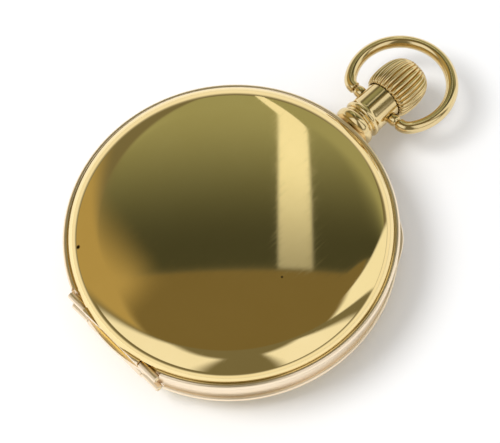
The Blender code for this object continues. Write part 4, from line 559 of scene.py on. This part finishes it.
for radius, x, depth in crown_rings:
    for step in range(crown_sides):
        angle = 2 * math.pi * step / crown_sides
        offset = 2 * (step % FLUTE_STEPS) / FLUTE_STEPS - 1
        reach = radius - depth * (1 - math.sqrt(1 - (0.985 * offset) ** 2))
        crown_points.append((x, reach * math.cos(angle), PENDANT_Z + reach * math.sin(angle)))
for ring in range(len(crown_rings) - 1):
    for step in range(crown_sides):
        here = ring * crown_sides + step
        after = ring * crown_sides + (step + 1) % crown_sides
        crown_faces.append((here, after, after + crown_sides, here + crown_sides))
last = (len(crown_rings) - 1) * crown_sides
crown_faces.append(tuple(range(last, last + crown_sides)))
crown_faces.append(tuple(range(crown_sides)))
crown = solid("crown_onion", (crown_points, crown_faces))
carve(crown, "UNION", bar(SHANK_RADIUS, 29.6, 35.4, "X", (0.0, 0.0, PENDANT_Z), edge=0.1))
carve(crown, "DIFFERENCE", bar(STEM_BORE, 28.1, 36.7, "X", (0.0, 0.0, PENDANT_Z), edge=0.01))
show(crown, BOW_GOLD, "crown", ["crown"], 38.0)

# Dust cover, bezel and hinge pins: gold pieces that show when the covers stand open. The bezel snaps
# into the band and holds the domed glass; the dust cover hangs on the back's own hinge pin.
for name in ("lid_hinge_pin", "back_hinge_pin"):
    nodes[name].data.materials.clear()
    nodes[name].data.materials.append(POLISHED_GOLD)
CUVETTE_RIM = 22.88
CUVETTE_TOP = 4.6
cuvette_outer = [(20.0 * k / 20, 1.01 + 1.15 * (k / 20) ** 2) for k in range(21)]
cuvette_keys = [(20.5, 2.26), (21.0, 2.56), (21.6, 3.06), (22.2, 3.6), (22.7, 4.06), (CUVETTE_RIM, 4.22)]
cuvette_outer += smooth_curve(cuvette_keys, 3)
cuvette_inner = [(CUVETTE_RIM, CUVETTE_TOP), (21.9, CUVETTE_TOP), (21.5, 3.5), (20.9, 2.95), (20.3, 2.62)]
cuvette_inner += [(20.0 * k / 12, 1.4 + 1.14 * (k / 12) ** 2) for k in range(12, -1, -1)]
cuvette = solid("dust_cover", turned(cuvette_outer + cuvette_inner, 192))
carve(cuvette, "UNION", box_shape((HINGE_X + 0.3, -1.44, 4.22), (-22.1, 1.44, 4.55)))
carve(cuvette, "UNION", bar(KNUCKLE_RADIUS, -1.48, 1.48, "Y", (HINGE_X, 0.0, BACK_AXIS_Z)))
carve(cuvette, "DIFFERENCE", pin_hole(BACK_AXIS_Z))
show(cuvette, POLISHED_GOLD, "cuvette", ["cuvette"])
BEZEL_SEAT = 8.3607
bezel_profile = [(22.3, 7.6607), (22.33, BEZEL_SEAT), (22.86, BEZEL_SEAT), (22.89, 8.5), (22.88, 9.0)]
bezel_profile += [(22.6, 9.42), (22.2, 9.72), (21.7, 9.95), (21.2, 10.07), (20.6, 10.09), (20.34, 10.06)]
bezel_profile += [(20.3, 9.99), (21.1, 9.99), (21.1, 9.15), (20.3, 9.15)]
bezel_profile += [(20.3, 8.91), (21.73, 8.91), (21.73, 7.6607)]
bezel = solid("bezel_ring", turned(bezel_profile, 192))
show(bezel, POLISHED_GOLD, "case", ["bezel"])

# Crystal: a thin domed glass over the dial. Its edge is sprung into the bezel's groove, with no cement.
# It is clear and shows only its gloss.
glass = bpy.data.materials.new("clear_glass")
glass.use_nodes = True
glass_shader = glass.node_tree.nodes["Principled BSDF"]
glass_shader.inputs["Base Color"].default_value = (0.97, 0.985, 0.985, 1.0)
glass_shader.inputs["Roughness"].default_value = 0.02
glass_shader.inputs["IOR"].default_value = 1.5
glass_shader.inputs["Transmission Weight"].default_value = 1.0
under = [(20.3 * k / 20, 9.21 + 1.5 * (1 - (k / 20) ** 2)) for k in range(20, -1, -1)]
over = [(radius, height + 0.7) for radius, height in reversed(under)]
crystal = solid("watch_glass", turned([(20.96, 9.21)] + under + over + [(20.96, 9.91)], 128))
show(crystal, glass, "case", ["crystal"])

# Dial: a copper disc fired with white enamel, with a sunk seconds dial. Its printed black minute track,
# seconds track and figures stand a hair above the enamel.
DIAL_TOP = 8.7607
enamel = finish("white_enamel", (0.90, 0.89, 0.85), (0.87, 0.855, 0.80), 0.12, 0.0, 0.0, 60.0, 0.0)
ink = finish("black_print", (0.012, 0.012, 0.014), (0.02, 0.02, 0.022), 0.4, 0.0, 0.0, 200.0, 0.0)
nodes["dial"].data.materials.clear()
nodes["dial"].data.materials.append(enamel)
PRINT = 0.02
PRINT_GAP = 0.012


def ticks(name, centre, count, inner, outer, width, long_every, long_inner, long_width):
    """A printed ring of short radial marks, with a longer one at each numbered place."""
    shapes = []
    for k in range(count):
        angle = 2 * math.pi * k / count
        is_long = k % long_every == 0
        low = long_inner if is_long else inner
        half = (long_width if is_long else width) / 2
        spin = Matrix.Rotation(angle, 3, "Z")
        points, faces = box_shape((low, -half, 0.0), (outer, half, PRINT))
        lift = Vector((centre[0], centre[1], DIAL_TOP + PRINT_GAP))
        moved = [spin @ Vector(point) + lift for point in points]
        shapes.append(([tuple(point) for point in moved], faces))
    return show(solid(name, *shapes), ink, "case")


def printed_ring(name, centre, inner, outer):
    low = DIAL_TOP + PRINT_GAP
    profile = [(inner, low), (outer, low), (outer, low + PRINT), (inner, low + PRINT)]
    ring = solid(name, turned(profile, 128, "Z", (centre[0], centre[1], 0.0)))
    return show(ring, ink, "case")


ticks("minute_marks", (0.0, 0.0), 60, 18.3, 19.3, 0.12, 5, 18.1, 0.32)
printed_ring("minute_line_outer", (0.0, 0.0), 19.32, 19.42)
printed_ring("minute_line_inner", (0.0, 0.0), 18.2, 18.28)
ticks("second_marks", (0.0, -9.5), 60, 3.75, 4.3, 0.07, 5, 3.4, 0.13)
printed_ring("second_line", (0.0, -9.5), 4.32, 4.4)
for hour in range(1, 13):
    if hour == 6:
        continue
    angle = math.radians(90 - 30 * hour)
    letters = bpy.data.curves.new("figure_%d" % hour, "FONT")
    letters.body = str(hour)
    letters.size = 4.4 * MM
    letters.align_x = "CENTER"
    letters.align_y = "CENTER"
    letters.extrude = 0.5 * PRINT * MM
    figure = bpy.data.objects.new("figure_%d" % hour, letters)
    bpy.context.scene.collection.objects.link(figure)
    spot = Vector((15.6 * math.cos(angle), 15.6 * math.sin(angle), DIAL_TOP + PRINT_GAP + 0.5 * PRINT)) * MM
    figure.location = spot
    show(figure, ink, "case")

# Hands, springs and screws: polished steel blued by heat. The hands are pressed on the cannon pinion, the
# hour wheel and the fourth wheel, and the springs and screws are the same blue.
BLUED = finish("blued_steel", (0.03, 0.05, 0.22), (0.05, 0.06, 0.26), 0.2, 0.3)
for name in ("hour_hand", "minute_hand", "second_hand", "hairspring", "mainspring", "ratchet_screw"):
    nodes[name].data.materials.clear()
    nodes[name].data.materials.append(BLUED)

# Plates and bridges: cast brass, frosted and fire gilt, each bridge screwed down to the main plate. They
# show when the back and the dust cover are open.
GILT = finish("frosted_gilt", (0.78, 0.58, 0.27), (0.70, 0.50, 0.21), 0.36, 0.2, 1.0, 700.0, 0.3)
for name in ("main_plate", "barrel_bridge", "train_bridge", "balance_cock", "pallet_cock"):
    nodes[name].data.materials.clear()
    nodes[name].data.materials.append(GILT)

# Wheels: cut brass with polished spokes, riveted to steel pinions that run in the plates, and the barrel
# with its snapped-in cover.
WHEEL_BRASS = finish("wheel_brass", (0.76, 0.56, 0.25), (0.68, 0.48, 0.19), 0.22, 0.4)
for name in ("barrel", "barrel_cover", "centre_wheel", "third_wheel", "fourth_wheel", "balance_wheel"):
    nodes[name].data.materials.clear()
    nodes[name].data.materials.append(WHEEL_BRASS)
for name in ("minute_wheel", "hour_wheel"):
    nodes[name].data.materials.clear()
    nodes[name].data.materials.append(WHEEL_BRASS)

# Steel work: the winding wheels, click, screws, stem, escapement and the springs in the case, polished
# and left white. Screws and the square on the barrel arbor hold the winding wheels.
STEEL = finish("polished_steel", (0.56, 0.565, 0.58), (0.48, 0.485, 0.5), 0.16, 0.6)
steel_names = ["lift_spring", "lock_spring", "winding_stem", "winding_pinion", "clutch", "ratchet_wheel"]
steel_names += ["crown_wheel", "crown_wheel_post", "click", "click_spring", "escape_wheel"]
steel_names += ["pallet_fork", "barrel_arbor", "regulator", "cannon_pinion", "click_screw", "balance_cock_screw"]
steel_names += ["pallet_cock_screw", "movement_screw_1"]
steel_names += ["movement_screw_2", "train_bridge_screw_1", "train_bridge_screw_2"]
steel_names += ["barrel_bridge_screw_1", "barrel_bridge_screw_2", "barrel_bridge_screw_3"]
for name in steel_names:
    nodes[name].data.materials.clear()
    nodes[name].data.materials.append(STEEL)

# Floor: a plain sheet of white paper under the watch, wide enough to fill the view. It is matt and
# shows the watch's soft shadow.
paper = bpy.data.materials.new("white_paper")
paper.use_nodes = True
paper_shader = paper.node_tree.nodes["Principled BSDF"]
paper_shader.inputs["Base Color"].default_value = (0.93, 0.93, 0.93, 1.0)
paper_shader.inputs["Roughness"].default_value = 0.9
paper_shader.inputs["Specular IOR Level"].default_value = 0.1
floor_mesh = bpy.data.meshes.new("floor")
floor_mesh.from_pydata([(-3, -3, 0), (3, -3, 0), (3, 3, 0), (-3, 3, 0)], [], [(0, 1, 2, 3)])
floor_mesh.materials.append(paper)
floor = bpy.data.objects.new("floor", floor_mesh)
bpy.context.scene.collection.objects.link(floor)

# Studio: grey walls that turn white at the floor, a dim ceiling with one straight white panel, and white
# screens at the front and the right. Nothing in it is brighter than white paper. Metal and glass show
# the studio, the camera sees white behind the floor, and all other light is one even grey.
world = bpy.data.worlds.new("studio")
bpy.context.scene.world = world
world.use_nodes = True
wt = world.node_tree
background = wt.nodes["Background"]
SCREEN_TURN = math.radians(45)


def world_math(operation, first, second=None):
    node = add_node(wt, "ShaderNodeMath", {"operation": operation})
    for index, value in enumerate((first, second)):
        if value is None:
            continue
        if isinstance(value, (int, float)):
            node.inputs[index].default_value = value
        else:
            wt.links.new(value, node.inputs[index])
    return node.outputs[0]


def ramp(value, start, end, low=0.0, high=1.0):
    node = add_node(wt, "ShaderNodeMapRange", {"interpolation_type": "SMOOTHSTEP"})
    for label, number in (("From Min", start), ("From Max", end), ("To Min", low), ("To Max", high)):
        node.inputs[label].default_value = number
    wt.links.new(value, node.inputs["Value"])
    return node.outputs["Result"]


def window(value, low, high, soft):
    """1 between two values, falling to 0 over a soft edge."""
    return world_math("MULTIPLY", ramp(value, low - soft, low + soft), ramp(value, high + soft, high - soft))


def over_colour(under, mask, colour):
    node = add_node(wt, "ShaderNodeMix", {"data_type": "RGBA"})
    wt.links.new(mask, node.inputs["Factor"])
    wt.links.new(under, node.inputs["A"])
    if isinstance(colour, tuple):
        node.inputs["B"].default_value = (*colour, 1.0)
    else:
        wt.links.new(colour, node.inputs["B"])
    return node.outputs["Result"]


def shade(value, tint):
    node = add_node(wt, "ShaderNodeVectorMath", {"operation": "SCALE"}, {0: tint})
    wt.links.new(value, node.inputs["Scale"])
    return node.outputs["Vector"]


toward = add_node(wt, "ShaderNodeTexCoord")
split = add_node(wt, "ShaderNodeSeparateXYZ")
wt.links.new(toward.outputs["Generated"], split.inputs["Vector"])
height = world_math("MAXIMUM", split.outputs["Z"], 0.02)
ceiling_x = world_math("DIVIDE", split.outputs["X"], height)
ceiling_y = world_math("DIVIDE", split.outputs["Y"], height)
side = world_math("MULTIPLY", world_math("SUBTRACT", ceiling_x, ceiling_y), math.cos(SCREEN_TURN))
ahead = world_math("MULTIPLY", world_math("ADD", ceiling_x, ceiling_y), math.cos(SCREEN_TURN))
squares = world_math("ADD", world_math("MULTIPLY", side, side), world_math("MULTIPLY", ahead, ahead))
spread = world_math("SQRT", squares)
facing = world_math("ARCTAN2", side, world_math("MULTIPLY", ahead, -1.0))
round_turn = world_math("MULTIPLY", facing, 180 / math.pi)
wall = add_node(wt, "ShaderNodeRGB")
wall.outputs[0].default_value = (0.20, 0.18, 0.11, 1.0)
studio = wall.outputs[0]
studio = over_colour(studio, ramp(spread, 2.2, 4.2), (1.0, 0.98, 0.94))
dim = shade(ramp(ahead, 0.40, 1.0, 0.065, 0.36), (1.0, 1.03, 0.6))
in_ceiling = world_math("MULTIPLY", window(side, -0.44, 1.5, 0.06), window(ahead, 0.33, 2.2, 0.03))
studio = over_colour(studio, in_ceiling, dim)
in_panel = world_math("MULTIPLY", window(side, 0.05, 0.135, 0.006), window(ahead, 0.34, 2.4, 0.01))
studio = over_colour(studio, in_panel, shade(ramp(ahead, 0.28, 0.72, 0.4, 1.0), (1.0, 0.99, 0.85)))
in_near = world_math("MULTIPLY", window(side, -0.40, 0.5, 0.035), window(ahead, -0.02, 0.335, 0.008))
studio = over_colour(studio, in_near, (0.20, 0.155, 0.065))
SCREENS = [
    (-80.0, -20.0, 0.28, 1.7, 7.0, (1.0, 1.0, 1.0)),
    (25.0, 70.0, 0.24, 2.2, 5.0, (1.0, 1.0, 1.0)),
    (86.0, 117.0, 0.42, 3.0, 2.0, (1.0, 1.0, 0.95)),
    (-140.0, -88.0, 0.42, 2.4, 8.0, (0.47, 0.36, 0.15)),
]
for start, end, low, high, soft, colour in SCREENS:
    in_screen = world_math("MULTIPLY", window(round_turn, start, end, soft), window(spread, low, high, 0.06))
    studio = over_colour(studio, in_screen, colour)
path = add_node(wt, "ShaderNodeLightPath")
white = add_node(wt, "ShaderNodeMix", {"data_type": "RGBA"})
white.inputs["A"].default_value = (0.70, 0.70, 0.70, 1.0)
mirrored = world_math("MAXIMUM", path.outputs["Is Glossy Ray"], path.outputs["Is Transmission Ray"])
wt.links.new(mirrored, white.inputs["Factor"])
wt.links.new(studio, white.inputs["B"])
seen = add_node(wt, "ShaderNodeMix", {"data_type": "RGBA"})
seen.inputs["B"].default_value = (1.0, 1.0, 1.0, 1.0)
wt.links.new(path.outputs["Is Camera Ray"], seen.inputs["Factor"])
wt.links.new(white.outputs["Result"], seen.inputs["A"])
wt.links.new(seen.outputs["Result"], background.inputs["Color"])

# Lamp: one large soft lamp up and to the left, which gives the soft shadow to the right of the watch. It
# is left out of reflections, where the screens stand for it.
lamp_data = bpy.data.lights.new("key_lamp", "AREA")
lamp_data.shape = "DISK"
lamp_data.size = 0.35
lamp_data.energy = 2.6
lamp = bpy.data.objects.new("key_lamp", lamp_data)
bpy.context.scene.collection.objects.link(lamp)
lamp.location = (-0.28, 0.24, 0.55)
lamp.rotation_euler = (Vector((0.0, 0.0, 0.0)) - lamp.location).to_track_quat("-Z", "Y").to_euler()
lamp.visible_glossy = False

# Camera: where the photograph was taken from, above the edge between the hinge and six o'clock, fitted
# to the lid's outline, the hinge and the bow.
CAMERA_PLACE = (-0.054856, -0.074179, 0.19607)
CAMERA_SWING = math.radians(-38.349)
CAMERA_LEAN = math.radians(26.455)
CAMERA_ROLL = math.radians(-6.629)
camera_data = bpy.data.cameras.new("camera")
camera_data.lens = 100.8
camera_data.sensor_width = 36.0
camera_data.sensor_fit = "HORIZONTAL"
camera_data.clip_start = 0.001
camera = bpy.data.objects.new("camera", camera_data)
bpy.context.scene.collection.objects.link(camera)
swing = Matrix.Rotation(CAMERA_SWING, 4, "Z")
lean = Matrix.Rotation(CAMERA_LEAN, 4, "X")
roll = Matrix.Rotation(CAMERA_ROLL, 4, "Z")
camera.matrix_world = Matrix.Translation(CAMERA_PLACE) @ swing @ lean @ roll
bpy.context.scene.camera = camera

bpy.context.scene.view_settings.view_transform = "Standard"
